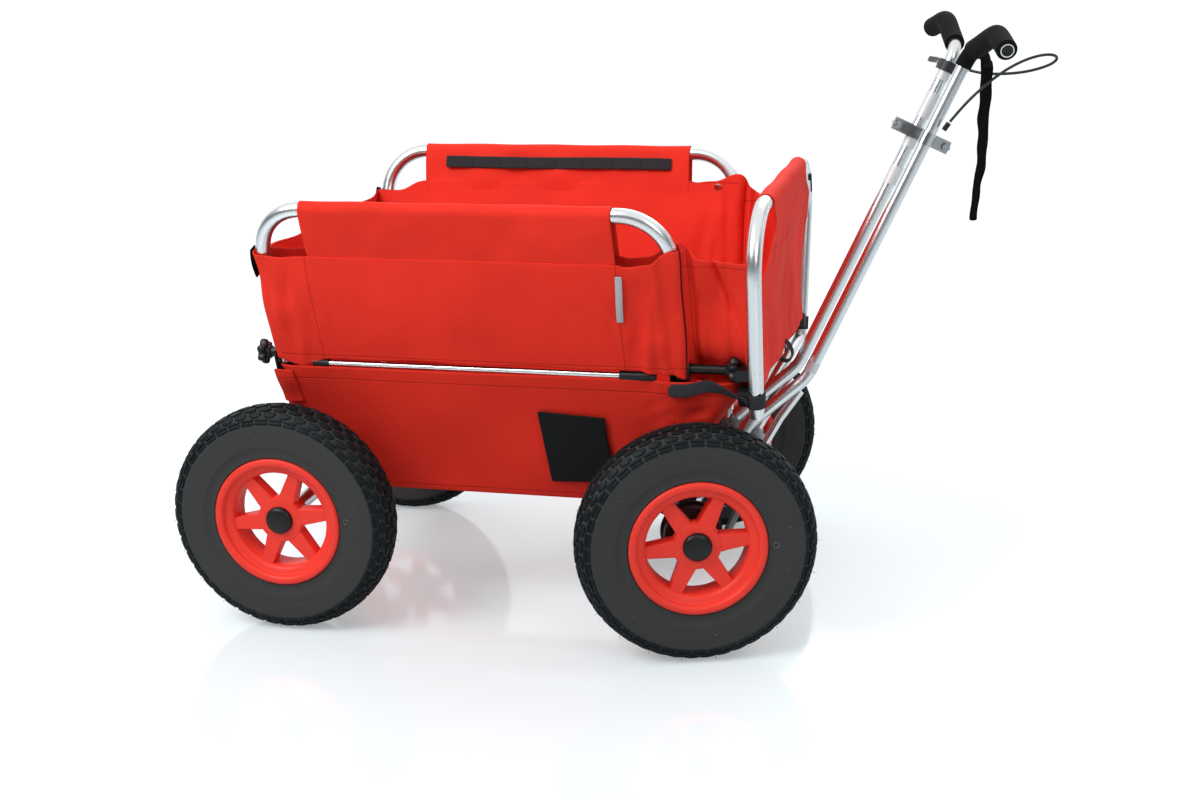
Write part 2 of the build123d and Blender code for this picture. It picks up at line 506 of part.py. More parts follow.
def add_handle():
    """Handle tubes with yoke plates, grips, tube clamp and brake lever."""
    tubes, plates, braces = [], [], []
    grip_radius = 15.5
    for word, side in SIDES.items():
        points = bar_points(side)
        gap = side * HANDLE_HALF_GAP
        path = FilletPolyline(*points, radius=[70, 36, 60])
        plane = Plane(origin=path @ 0, z_dir=path % 0)
        tube = sweep(plane * Circle(HANDLE_TUBE_RADIUS), path)
        tubes.append(tube - sweep(plane * Circle(HANDLE_TUBE_RADIUS - TUBE_WALL), path))
        grip_start = 0.5 * (Vector(*points[2]) * 1.72 + Vector(*points[3]) * 0.28)
        grip_path = FilletPolyline(grip_start, points[3], points[4] , radius=60)
        outward = grip_path % 1
        tip = grip_path @ 1
        grip = sweep(Plane(origin=grip_path @ 0, z_dir=grip_path % 0) * Circle(grip_radius), grip_path)
        grip += rod(tuple(tip), tuple(tip + outward * 5), grip_radius)
        nodes[f"grip_{word}"] = steer_about(0, whole(grip - tube))
        brace = bent_tube([handle(164, gap, 370), handle(128, gap, 322), handle(96, gap, 268)], 60, 8) - tube
        inner, outer = sorted((gap - side * 4, gap + side * 4))
        outline = Polyline((50, 246), (108, 246), (112, 276), (88, 312), (62, 316), (50, 300), close=True)
        plate = extrude(Plane(origin=(KINGPIN_X, outer, 0), x_dir=(1, 0, 0), z_dir=(0, -1, 0)) * make_face(outline), outer - inner)
        plate -= rod((KINGPIN_X + TILT_U, -90, TILT_Z), (KINGPIN_X + TILT_U, 90, TILT_Z), 6.0 + FIT)
        plates.append(whole(plate - tube) )
        braces.append(brace - plate)
    nodes["handle_braces"] = steer_about(0, group(*braces))
    nodes["handle_tubes"] = steer_about(0, group(*tubes))
    nodes["handle_yoke"] = steer_about(0, group(*plates))

    band_half, band_out = 11.0, 2.5
    plane = run_plane(CLAMP_AT, 0)
    def ring(grow):
        return SlotOverall(2 * (HANDLE_HALF_GAP + HANDLE_TUBE_RADIUS + grow), 2 * (HANDLE_TUBE_RADIUS + grow), rotation=90)
    band = extrude(plane.offset(-band_half) * (ring(band_out) - ring(0)), 2 * band_half)
    ear = Pos(28, -30) * Rectangle(34, 6)
    band += extrude(plane.offset(-band_half) * (ear + Rot(0, 0, 180) * ear), 2 * band_half)
    band -= extrude(plane.offset(-20) * ring(0), 40)
    bolt_plane = Plane(origin=plane.from_local_coords((38, -42, 0)), z_dir=plane.y_dir)
    back_plane = Plane(origin=plane.from_local_coords((-38, 42, 0)), z_dir=-plane.y_dir)
    bolts = []
    for frame in (bolt_plane, back_plane):
        shank = extrude(frame * Circle(4), 26)
        band -= shank
        bolts.append(shank + extrude(frame * RegularPolygon(7, 6), 6) + extrude(frame.offset(16.5) * RegularPolygon(7, 6), 6))
    nodes["tube_clamp"] = steer_about(0, whole(band))

    lever_share = 0.945
    plane = run_plane(lever_share, HANDLE_HALF_GAP)
    collar = extrude(plane.offset(-9) * (Circle(HANDLE_TUBE_RADIUS + 4) + Pos(0, 22) * Rectangle(18, 24)), 18)
    collar -= extrude(plane.offset(-20) * Circle(HANDLE_TUBE_RADIUS), 40)
    collar -= extrude(plane.offset(-20) * (Pos(0, 30) * Rectangle(6.8, 24)), 40)
    pin_plane = Plane(origin=plane.from_local_coords((-12, LEVER_PIVOT, 0)), z_dir=plane.x_dir)
    pin = extrude(pin_plane * Circle(3), 24)
    collar -= pin
    nodes["brake_lever_bracket"] = steer_about(0, whole(collar))
    lever_plane = Plane(origin=plane.from_local_coords((-3, 0, 0)), x_dir=plane.y_dir, z_dir=plane.x_dir)
    outline = Polyline((LEVER_PIVOT - 5, -5), (LEVER_PIVOT + 8, 5), (70, 9), (118, 6), (118, -3), (70, 0), (LEVER_PIVOT, -6), close=True)
    lever = extrude(lever_plane * (make_face(outline) + Pos(LEVER_PIVOT, 0) * Circle(6.5)), 6)
    lever -= extrude(pin_plane * Circle(3 + FIT), 24)
    nodes["brake_lever"] = steer_about(0, whole(lever))
    tilt_bolt = rod(handle(TILT_U, -56, TILT_Z), handle(TILT_U, 56, TILT_Z), 6.0)
    nodes["handle_bolts"] = steer_about(0, group(tilt_bolt, pin, *bolts))


# ---------------------------------------------------------------- brake cable, straps
CABLE_RADIUS, CABLE_ROUTE = 2.5, [
    (470, 28, 908), (482, 12, 905), (500, -3, 904), (524, -16, 905), (550, -25, 908), (575, -31, 914),
    (594, -36, 922), (600, -42, 931), (590, -49, 938), (567, -56, 939), (538, -63, 933), (508, -69, 921),
    (480, -73, 904), (454, -73, 883), (431, -68, 859), (413, -60, 834)]
WRIST_RADIUS, WRIST_ROUTE = 6.0, [(472, -58, 934), (473, -58, 880), (471, -59, 810), (466, -60, 738), (458, -60, 664)]


def fair_radii(points, share=0.45, smallest=2.0):
    """Bend radii for a free cord: as large as the runs beside each corner allow."""
    radii = []
    for before, here, after in zip(points, points[1:], points[2:]):
        arrive, leave = Vector(*here) - Vector(*before), Vector(*after) - Vector(*here)
        turn = radians(arrive.get_angle(leave))
        radii.append(max(smallest, share * min(arrive.length, leave.length) / tan(turn / 2)))
    return radii


def free_cord(name, route, radius):
    """Plain tube along a cord's route."""
    points = [handle(*point) for point in route]
    radii = fair_radii(points)
    path = FilletPolyline(*points, radius=radii)
    tube = sweep(Plane(origin=path @ 0, z_dir=path % 0) * Circle(radius), path)
    print(name, "length", round(path.length, 1), "smallest radius", round(min(radii), 1),
          "volume ratio", round(tube.volume / (path.length * Circle(radius).area), 3))
    nodes[name] = steer_about(0, tube)


def add_cords_and_straps():
    """Brake cable loop, wrist strap, and the webbing that ties hoop and handle."""
    free_cord("brake_cable", CABLE_ROUTE, CABLE_RADIUS)
    free_cord("wrist_strap", WRIST_ROUTE, WRIST_RADIUS)
    stop = rod(handle(458, 31, 909.5), handle(467.6, 29.4, 908.4), 4)
    clip = rod(handle(411.4, -59.3, 831.6), handle(404, -56, 820), 4.5)
    nodes["cable_stops"] = steer_about(0, group(stop, clip))
    bands = []
    for side in SIDES.values():
        start = Vector(FRONT_LEG_X + 20, leg_y(442, side) + side * 25, 442)
        end = Vector(nose_x(436) - 2, nose_y(436, side) + side * 16.2, 436)
        middle = (start + end) * 0.5 + Vector(0, side * 2, 4)
        for a, b in ((start, middle), (middle, end)):
            bands.append((a, b))
    straps = []
    for index in (0, 2):
        (a, b), (_, c) = bands[index], bands[index + 1]
        path = Polyline(tuple(a), tuple(b), tuple(c))
        section = Plane(origin=a, x_dir=(0, 0, 1), z_dir=b - a) * Rectangle(24, 2.5)
        straps.append(sweep(section, path, transition=Transition.RIGHT))
    nodes["corner_straps"] = group(*straps)


def footprint_centre(parts):
    """Middle of the cart's box, seen from above, without the cords."""
    cords = ("brake_cable", "wrist_strap")
    boxes = [part.bounding_box() for name, part in parts.items() if name not in cords]
    low_x, high_x = min(b.min.X for b in boxes), max(b.max.X for b in boxes)
    low_y, high_y = min(b.min.Y for b in boxes), max(b.max.Y for b in boxes)
    low_z = min(b.min.Z for b in boxes)
    return Vector((low_x + high_x) / 2, (low_y + high_y) / 2, low_z)


add_wheels()
add_lower_frame()
add_side_hoops()
add_front_hoop()
add_fabric()
add_steering()
add_handle()
add_cords_and_straps()
ORIGIN = footprint_centre(nodes)
print("origin in the working frame", ORIGIN, "nodes", len(nodes))
os.makedirs("parts", exist_ok=True)
for node, part in nodes.items():
    export_step(Pos(-ORIGIN.X, -ORIGIN.Y, -ORIGIN.Z) * part, f"parts/{node}.step")
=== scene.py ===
"""Beach cart: every visible surface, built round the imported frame.

Lengths inside the classes are millimetres in the cart's own lines: X forward from the rear axle, Y across
with the near side negative, Z up from the ground.  `at` turns them into the frame's metres.
"""
import json
import logging
import math
from dataclasses import dataclass, field
from enum import Enum
from typing import Optional, Sequence, Union

import bpy
import numpy as np
from mathutils import Matrix, Vector

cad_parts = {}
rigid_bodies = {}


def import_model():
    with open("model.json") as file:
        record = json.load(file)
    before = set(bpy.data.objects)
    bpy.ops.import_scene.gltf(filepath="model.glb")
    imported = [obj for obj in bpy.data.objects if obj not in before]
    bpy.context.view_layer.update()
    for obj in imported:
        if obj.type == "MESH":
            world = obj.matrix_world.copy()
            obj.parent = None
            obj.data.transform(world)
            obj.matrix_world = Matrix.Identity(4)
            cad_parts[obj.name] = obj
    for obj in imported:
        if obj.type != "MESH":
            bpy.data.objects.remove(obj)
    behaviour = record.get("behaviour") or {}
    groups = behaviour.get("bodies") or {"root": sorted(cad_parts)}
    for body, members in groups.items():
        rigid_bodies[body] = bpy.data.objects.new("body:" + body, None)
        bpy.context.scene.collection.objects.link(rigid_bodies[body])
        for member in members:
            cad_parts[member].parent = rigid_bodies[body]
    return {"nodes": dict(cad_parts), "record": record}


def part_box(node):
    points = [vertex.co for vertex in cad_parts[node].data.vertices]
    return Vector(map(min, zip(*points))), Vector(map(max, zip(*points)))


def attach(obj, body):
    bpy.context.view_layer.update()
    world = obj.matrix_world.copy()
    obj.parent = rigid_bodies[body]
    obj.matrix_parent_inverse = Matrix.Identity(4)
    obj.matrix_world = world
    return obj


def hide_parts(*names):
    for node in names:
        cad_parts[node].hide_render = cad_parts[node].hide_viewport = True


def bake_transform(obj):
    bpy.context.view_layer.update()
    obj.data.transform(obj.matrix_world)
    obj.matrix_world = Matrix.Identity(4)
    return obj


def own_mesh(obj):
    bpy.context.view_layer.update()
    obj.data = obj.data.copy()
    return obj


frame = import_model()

LOG = logging.getLogger("beach_cart")
Heights = Union[float, np.ndarray]
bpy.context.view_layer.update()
MM = 0.001
# Lean of the side frames, and how far the front wheels are turned at rest.
LEAN = math.radians(16.0)
STEER = math.radians(19.0)
# Axes of the top rails, hinges, kingpins and legs, then the front hoop and the radius of the frame tubes.
RAIL_Z, HINGE_Z = 738.0, 474.0
RAIL_HALF, KINGPIN_X = 312.56, 680.0
REAR_X, FRONT_X = -6.0, 688.0
NOSE_X, NOSE_LEAN, NOSE_HALF, NOSE_SPLAY = 819.0, 0.0125, 313.72, 0.19
NOSE_RISE = 2.0
TUBE = 12.5
# The tub's floor and height, how far its walls stand outside the legs' axes, and how much they flare.
TUB_FLOOR_Z, TUB_TALL, TUB_OFFSET, TUB_FLARE = 214.0, 240.0, 13.5, 5.0
HINGE_HALF = RAIL_HALF - math.tan(LEAN) * (RAIL_Z - HINGE_Z)
HOOP_RISE = (RAIL_Z - HINGE_Z) / math.cos(LEAN)
LOW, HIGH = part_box("rear_axle_beam")
ORIGIN_X = (LOW.x + HIGH.x) / 2


class Side(Enum):
    """Which side of the cart a piece is on."""

    NEAR = -1
    FAR = 1

    @property
    def word(self) -> str:
        """Ending of the node and body names on this side."""
        return self.name.lower()


def at(x: float, y: float, z: float) -> Vector:
    """Frame position in metres of a point given in the cart's millimetres."""
    return Vector((ORIGIN_X + x * MM, y * MM, z * MM))


def leg_y(z: Heights) -> Heights:
    """Distance of a leaning leg's axis from the middle of the cart at height z."""
    return RAIL_HALF - math.tan(LEAN) * (RAIL_Z - z)


def nose_x(z: Heights) -> Heights:
    """X of the front hoop's axis at height z."""
    return NOSE_X - NOSE_LEAN * (RAIL_Z - z)


def nose_y(z: Heights) -> Heights:
    """Distance of a front hoop leg's axis from the middle at height z."""
    return NOSE_HALF - NOSE_SPLAY * (RAIL_Z - z)


def steered(u: float, s: float, z: float, y: float = 0.0) -> tuple[float, float, float]:
    """Point ahead of (u) and across from (s) a steering pin at distance y from the middle, wheels turned."""
    ahead = KINGPIN_X + u * math.cos(STEER) - s * math.sin(STEER)
    return (ahead, y + u * math.sin(STEER) + s * math.cos(STEER), z)


# ------------------------------------------------------------------------------------------------ finishes
class Nodes:
    """A material's node tree with short ways to add to it."""

    def __init__(self, name: str) -> None:
        """Starts an empty material with a principled shader."""
        self.material = bpy.data.materials.new(name)
        self.material.use_nodes = True
        self.tree = self.material.node_tree
        self.tree.nodes.clear()
        self.out = self.tree.nodes.new("ShaderNodeOutputMaterial")
        self.shader = self.tree.nodes.new("ShaderNodeBsdfPrincipled")
        self.tree.links.new(self.shader.outputs[0], self.out.inputs[0])
        self.place = self.tree.nodes.new("ShaderNodeTexCoord")

    def add(self, kind: str, **values: object) -> bpy.types.Node:
        """Adds a node.

        Args:
            kind: Node type without the ShaderNode prefix.
            values: Settings, or input values and links where the name is an input's with _ for spaces.

        Returns:
            The new node.
        """
        node = self.tree.nodes.new("ShaderNode" + kind)
        for key, value in values.items():
            if hasattr(node, key):
                setattr(node, key, value)
                continue
            name = key.replace("_", " ")
            socket = node.inputs[int(name[1:])] if name[0] == "i" and name[1:].isdigit() else node.inputs[name]
            if isinstance(value, bpy.types.NodeSocket):
                self.tree.links.new(value, socket)
            else:
                socket.default_value = value
        return node

    def noise(self, scale: float, detail: float = 3.0) -> bpy.types.NodeSocket:
        """Noise value over the surface."""
        place = self.place.outputs["Object"]
        return self.add("TexNoise", Vector=place, Scale=scale, Detail=detail, Roughness=0.5).outputs[0]

    def math(self, operation: str, a: object, b: object = 0.0, clamp: bool = False) -> bpy.types.NodeSocket:
        """Result of a sum on two values or sockets."""
        return self.add("Math", operation=operation, use_clamp=clamp, i0=a, i1=b).outputs[0]

    def spread(self, value: bpy.types.NodeSocket, low: float, high: float,
               start: float = 0.3, end: float = 0.7) -> bpy.types.NodeSocket:
        """A value mapped from start..end to low..high."""
        return self.add("MapRange", Value=value, From_Min=start, From_Max=end, To_Min=low, To_Max=high).outputs[0]

    def mix(self, share: object, a: object, b: object) -> bpy.types.NodeSocket:
        """Mix of two colours."""
        node = self.tree.nodes.new("ShaderNodeMix")
        node.data_type = "RGBA"
        for index, value in ((0, share), (6, a), (7, b)):
            if isinstance(value, bpy.types.NodeSocket):
                self.tree.links.new(value, node.inputs[index])
            else:
                node.inputs[index].default_value = value
        return node.outputs[2]

    def bump(self, heights: Sequence[tuple[bpy.types.NodeSocket, float, float]]) -> None:
        """Layers of bump, each a height, a strength and a depth in metres."""
        normal = None
        for height, strength, depth in heights:
            node = self.add("Bump", Height=height, Strength=strength, Distance=depth)
            if normal is not None:
                self.tree.links.new(normal, node.inputs["Normal"])
            normal = node.outputs[0]
        self.tree.links.new(normal, self.shader.inputs["Normal"])

    def set(self, **values: object) -> None:
        """Sets or links inputs of the principled shader."""
        for key, value in values.items():
            socket = self.shader.inputs[key.replace("_", " ")]
            if isinstance(value, bpy.types.NodeSocket):
                self.tree.links.new(value, socket)
            else:
                socket.default_value = value


def tint(colour: Sequence[float], factor: float) -> tuple[float, float, float, float]:
    """A colour made lighter or darker, with alpha."""
    return (*(min(1.0, c * factor) for c in colour), 1.0)


@dataclass(frozen=True)
class Finish:
    """A hard surface: its colour, how much it varies, its gloss and its grain."""

    name: str
    slot: str
    colour: tuple[float, float, float]
    roughness: float
    metallic: float = 0.0
    variation: float = 0.12
    grain: float = 900.0
    grain_depth: float = 0.00005
    gloss: float = 0.5

    def material(self) -> bpy.types.Material:
        """The finish as a material, made once."""
        if self.name in bpy.data.materials:
            return bpy.data.materials[self.name]
        n = Nodes(self.name)
        bare_metal = self.metallic > 0.9
        dark, light = tint(self.colour, 1 - self.variation), tint(self.colour, 1 + self.variation)
        n.set(Base_Color=n.mix(n.spread(n.noise(9.0, 4.0), 0.0, 1.0), dark, light))
        grain = n.noise(self.grain)
        smear = n.noise(34.0, 5.0)
        swing = 0.25 if bare_metal else 1.0
        broad = n.spread(smear, self.roughness - 0.05 * swing, self.roughness + 0.06 * swing)
        fine = n.spread(grain, -0.02 * swing, 0.03 * swing)
        n.set(Metallic=self.metallic, Roughness=n.math("ADD", broad, fine, True), Specular_IOR_Level=self.gloss)
        if not bare_metal:
            n.bump([(grain, 0.35, self.grain_depth), (smear, 0.12, 0.0002)])
        return n.material


STITCHES_PER_METRE = 330.0
PIPING = (0.02, 0.005, 0.006, 1)


@dataclass(frozen=True)
class Seam:
    """A stitched line: the UV axis that it is at a constant value of, that value, and its reach on the other axis."""

    axis: int
    place: float
    low: float
    high: float
    width: float = 0.0011
    strength: float = 0.4

    @property
    def piping(self) -> bool:
        """Whether it is a solid dark piping instead of stitches."""
        return self.strength >= 0.8

    def line(self, n: Nodes, across: bpy.types.NodeSocket, along: bpy.types.NodeSocket) -> bpy.types.NodeSocket:
        """Where the seam shows, 0 to 1."""
        off = n.math("ABSOLUTE", n.math("SUBTRACT", across, self.place))
        line = n.spread(off, 1.0, 0.0, self.width * 0.4, self.width * 1.3)
        above, below = n.math("GREATER_THAN", along, self.low), n.math("LESS_THAN", along, self.high)
        return n.math("MULTIPLY", line, n.math("MULTIPLY", above, below))

    def share(self, n: Nodes, line: bpy.types.NodeSocket, along: bpy.types.NodeSocket) -> bpy.types.NodeSocket:
        """How much of the thread's colour shows, stitch by stitch."""
        stitch = n.math("FRACT", n.math("MULTIPLY", along, STITCHES_PER_METRE))
        dash = n.spread(stitch, 1.0 if self.piping else 0.35, 1.0, 0.2, 0.45)
        return n.math("MULTIPLY", n.math("MULTIPLY", line, dash), self.strength)


@dataclass(frozen=True)
class Weave:
    """Woven coated cloth with stitched seams, on the piece's own UV map in metres."""

    name: str
    slot: str
    colour: tuple[float, float, float]
    roughness: float = 0.62
    thread: float = 0.0009
    rib: float = 0.0
    crease: float = 0.0007
    seams: tuple[Seam, ...] = ()

    def material(self) -> bpy.types.Material:
        """The cloth as a material, made once."""
        if self.name in bpy.data.materials:
            return bpy.data.materials[self.name]
        n = Nodes(self.name)
        uv = n.add("UVMap").outputs[0]
        scale = 0.31416 / (self.rib or self.thread)
        threads = [n.add("TexWave", bands_direction=way, Vector=uv, Scale=scale, Distortion=0.6,
                         Detail=1.0, Detail_Scale=2.0).outputs[1] for way in (("X",) if self.rib else ("X", "Y"))]
        cloth = threads[0] if self.rib else n.math("MULTIPLY", threads[0], threads[1])
        cloud, fine = n.noise(6.0, 4.0), n.noise(420.0, 2.0)
        colour = n.mix(n.spread(cloud, 0.0, 1.0), tint(self.colour, 0.9), tint(self.colour, 1.1))
        colour = n.mix(n.spread(n.math("ADD", cloth, fine), 0.0, 0.22, 0.4, 1.4), colour, tint(self.colour, 0.62))
        lift = None
        if self.seams:
            split = n.add("SeparateXYZ", Vector=uv)
            for seam in self.seams:
                along = split.outputs[1 - seam.axis]
                line = seam.line(n, split.outputs[seam.axis], along)
                thread = PIPING if seam.piping else tint(self.colour, 0.3)
                colour = n.mix(seam.share(n, line, along), colour, thread)
                lift = line if lift is None else n.math("MAXIMUM", lift, line)
        n.set(Base_Color=colour, Roughness=n.spread(fine, self.roughness - 0.05, self.roughness + 0.08),
              Specular_IOR_Level=0.07)
        layers = [(cloth, 0.35, 0.00012), (n.noise(17.0, 4.0), 0.5, self.crease),
                  (n.noise(60.0, 2.0), 0.25, self.crease * 0.4)]
        if lift is not None:
            layers.append((n.math("SUBTRACT", 1.0, lift), 0.9, 0.0009))
        n.bump(layers)
        return n.material


# Base colours are linear, not sRGB.
RED = (0.82, 0.034, 0.0195)
BLACK = (0.010, 0.011, 0.012)
TYRE = Finish("tyre_rubber", "tyre_rubber", (0.0035, 0.0085, 0.0102), 0.62, variation=0.4, grain=500.0,
              grain_depth=0.00026, gloss=0.09)
BLOCKS = Finish("tread_rubber", "tyre_rubber", (0.005, 0.0098, 0.0115), 0.5, variation=0.4, grain=420.0,
                grain_depth=0.0002, gloss=0.17)
RIM = Finish("rim_plastic", "red_plastic", (0.86, 0.042, 0.025), 0.42, variation=0.04, grain=700.0,
             grain_depth=0.00006, gloss=0.3)
NYLON = Finish("black_nylon", "black_plastic", (0.007, 0.0075, 0.008), 0.36, variation=0.3, grain=800.0, gloss=0.35)
FOAM = Finish("grip_foam", "foam", (0.006, 0.006, 0.0065), 0.92, variation=0.25, grain=750.0,
              grain_depth=0.0004, gloss=0.2)
ALUMINIUM = Finish("drawn_aluminium", "aluminium_tube", (0.80, 0.81, 0.82), 0.26, 1.0, 0.02, 260.0, 0.00001)
ZINC = Finish("plated_steel", "zinc_steel", (0.60, 0.61, 0.62), 0.18, 1.0, 0.06, 500.0, 0.00001)
CASTING = Finish("black_steel", "zinc_steel", (0.05, 0.05, 0.055), 0.45, 0.6, 0.2, 500.0, 0.00006)
SHEATH = Finish("cable_sheath", "cable", (0.012, 0.013, 0.014), 0.35, variation=0.2, grain=600.0)
BOARD = Finish("faced_board", "board", (0.05, 0.012, 0.011), 0.6, variation=0.2, grain=300.0)
MARK = Finish("moulded_mark", "tyre_rubber", (0.075, 0.08, 0.083), 0.5, variation=0.2)
FILM = Finish("clear_film", "aluminium_tube", (0.78, 0.79, 0.80), 0.48, 0.35, 0.03, 300.0)
TAG = Finish("grey_tag", "black_webbing", (0.42, 0.40, 0.42), 0.6, variation=0.08)
STRAP = Weave("black_webbing", "black_webbing", BLACK, 0.75, rib=0.0022, crease=0.0002)
SLEEVE = Weave("strap_cloth", "black_webbing", (0.005, 0.0052, 0.0055), 0.9, crease=0.0009)
PATCH = Weave("patch_mesh", "black_webbing", (0.011, 0.012, 0.0125), 0.7, thread=0.0016, crease=0.0003)
NEAR_CLOTH = Weave("panel_cloth", "red_fabric", RED, seams=(
    Seam(0, 0.072, 0.47, 0.668), Seam(0, 0.600, 0.47, 0.662), Seam(1, 0.481, -0.02, 0.70),
    Seam(0, 0.7025, 0.45, 0.71, 0.0021, 0.95), Seam(1, 0.684, 1.0, 1.8)))
TOP_CLOTH = Weave("top_cloth", "red_fabric", RED)
# The tub's cloth is the side panels' red fabric darkened to 0.86: painted shade on the lower basket and on the corner
# flaps that share it.
SHADED_TUB_CLOTH = Weave("tub_cloth", "red_fabric", tuple(c * 0.86 for c in RED),
                  seams=(Seam(1, 0.432, -5.0, 5.0), Seam(1, 0.226, -5.0, 5.0)))
NOSE_CLOTH = Weave("nose_cloth", "red_fabric", RED, seams=(Seam(0, 0.014, 0.0, 0.9), Seam(1, 0.655, -5.0, 5.0)))


# ------------------------------------------------------------------------------------------------ shop tools
def deselect() -> None:
    """Leaves nothing selected."""
    for obj in bpy.context.view_layer.objects:
        obj.select_set(False)


def pick(obj: bpy.types.Object) -> None:
    """Selects one object and makes it active."""
    deselect()
    obj.select_set(True)
    bpy.context.view_layer.objects.active = obj


def modify(obj: bpy.types.Object, kind: str, **settings: object) -> None:
    """Adds a modifier and applies it."""
    pick(obj)
    modifier = obj.modifiers.new(kind.lower(), kind)
    for key, value in settings.items():
        setattr(modifier, key, value)
    bpy.ops.object.modifier_apply(modifier=modifier.name)


def smooth(obj: bpy.types.Object, angle: float = 35.0) -> None:
    """Smooth shading with the sharp edges kept."""
    pick(obj)
    bpy.ops.object.shade_smooth_by_angle(angle=math.radians(angle))


def place(obj: bpy.types.Object, matrix: Matrix) -> bpy.types.Object:
    """Moves an object and puts its place into its mesh."""
    obj.data.transform(matrix @ obj.matrix_world)
    obj.matrix_world = Matrix.Identity(4)
    obj.data.update()
    return obj


def settle(obj: bpy.types.Object, name: str, finish: object, body: Optional[str],
           stands_for: Sequence[str] = ()) -> bpy.types.Object:
    """Names a finished piece, dresses it and makes it ride.

    Args:
        obj: The piece, its place in its mesh.
        name: Its name.
        finish: A finish with material() and slot.
        body: The body that it rides on, or None to leave it on no body.
        stands_for: CAD nodes that it replaces.

    Returns:
        The piece.
    """
    obj.name = name
    obj.data.name = name
    obj.data.materials.clear()
    obj.data.materials.append(finish.material())
    if body is not None:
        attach(obj, body)
    if stands_for:
        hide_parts(*stands_for)
    LOG.info("%s on %s", name, body)
    return obj


def twin(obj: bpy.types.Object) -> bpy.types.Object:
    """A copy with its own mesh."""
    other = obj.copy()
    other.data = obj.data.copy()
    bpy.context.scene.collection.objects.link(other)
    return other


def join(parts: Sequence[bpy.types.Object]) -> bpy.types.Object:
    """Several meshes as one object."""
    deselect()
    for part in parts:
        part.select_set(True)
    bpy.context.view_layer.objects.active = parts[0]
    bpy.ops.object.join()
    return parts[0]


def lathe(profile: Sequence[tuple[float, float]], steps: int = 96) -> bpy.types.Object:
    """Turned piece about Z.

    Args:
        profile: Radius and height of each corner, in millimetres.
        steps: Divisions round the axis.

    Returns:
        The piece, in metres.
    """
    deselect()
    bpy.ops.mesh.primitive_plane_add(size=0.01, location=(0, 0, 0))
    obj = bpy.context.object
    bpy.ops.object.mode_set(mode="EDIT")
    bpy.ops.mesh.select_mode(type="VERT")
    bpy.ops.mesh.select_all(action="SELECT")
    bpy.ops.mesh.merge(type="CENTER")
    bpy.ops.transform.translate(value=(profile[0][0] * MM, 0, profile[0][1] * MM))
    for (r0, h0), (r1, h1) in zip(profile, profile[1:]):
        bpy.ops.mesh.extrude_region_move(TRANSFORM_OT_translate={"value": ((r1 - r0) * MM, 0, (h1 - h0) * MM)})
    bpy.ops.mesh.select_all(action="SELECT")
    bpy.ops.mesh.spin(steps=steps, angle=2 * math.pi, center=(0, 0, 0), axis=(0, 0, 1))
    bpy.ops.mesh.select_all(action="SELECT")
    bpy.ops.mesh.remove_doubles(threshold=2e-6)
    bpy.ops.mesh.normals_make_consistent(inside=False)
    bpy.ops.object.mode_set(mode="OBJECT")
    return obj


def block(size: Sequence[float], centre: Sequence[float], bevel: float = 0.0, taper: float = 1.0) -> bpy.types.Object:
    """Box in millimetres, its +X end made narrower in Y by taper, edges bevelled."""
    deselect()
    bpy.ops.mesh.primitive_cube_add(size=1.0, location=(0, 0, 0))
    obj = bpy.context.object
    obj.scale = [s * MM for s in size]
    bpy.ops.object.transform_apply(scale=True)
    if taper != 1.0:
        bpy.ops.object.mode_set(mode="EDIT")
        bpy.ops.mesh.select_all(action="DESELECT")
        bpy.ops.object.mode_set(mode="OBJECT")
        for vertex in obj.data.vertices:
            vertex.select = vertex.co.x > 0
        bpy.ops.object.mode_set(mode="EDIT")
        bpy.ops.transform.resize(value=(1, taper, 1), center_override=(size[0] * MM / 2, 0, 0))
        bpy.ops.object.mode_set(mode="OBJECT")
    if bevel:
        modify(obj, "BEVEL", width=bevel * MM, segments=2, limit_method="ANGLE")
    return place(obj, Matrix.Translation(Vector(centre) * MM))


def ring_of(obj: bpy.types.Object, count: int) -> bpy.types.Object:
    """Repeats a piece round Z, count times in all."""
    pick(obj)
    bpy.ops.object.mode_set(mode="EDIT")
    bpy.ops.mesh.select_all(action="SELECT")
    bpy.ops.mesh.spin(steps=count - 1, dupli=True, angle=2 * math.pi * (count - 1) / count,
                      center=(0, 0, 0), axis=(0, 0, 1))
    bpy.ops.object.mode_set(mode="OBJECT")
    return obj


def curve(name: str, points: Sequence[Sequence[float]], steps: int) -> bpy.types.Object:
    """Smooth open curve that follows points in metres, with that many steps from point to point."""
    data = bpy.data.curves.new(name, "CURVE")
    data.dimensions, data.resolution_u = "3D", steps
    spline = data.splines.new("NURBS")
    spline.points.add(len(points) - 1)
    for point, co in zip(spline.points, points):
        point.co = (*co, 1.0)
    spline.order_u, spline.use_endpoint_u = 3, True
    obj = bpy.data.objects.new(name, data)
    bpy.context.scene.collection.objects.link(obj)
    return obj


def round_bar(obj: bpy.types.Object, radius: float, sides: int) -> None:
    """Gives a curve a round section with closed ends, its radius in metres."""
    obj.data.bevel_depth, obj.data.bevel_resolution, obj.data.use_fill_caps = radius, sides, True


def pipe(points: Sequence[Vector], radius: float, sides: int) -> bpy.types.Object:
    """Smooth round bar along points in metres, as a mesh with closed ends, its radius in millimetres."""
    obj = curve("pipe", points, 10)
    round_bar(obj, radius * MM, sides)
    pick(obj)
    bpy.ops.object.convert(target="MESH")
    return bpy.context.object


def run_of(line: np.ndarray) -> np.ndarray:
    """Distance run along a line of points, at each of them."""
    return np.concatenate([[0], np.cumsum(np.linalg.norm(np.diff(line, axis=0), axis=1))])


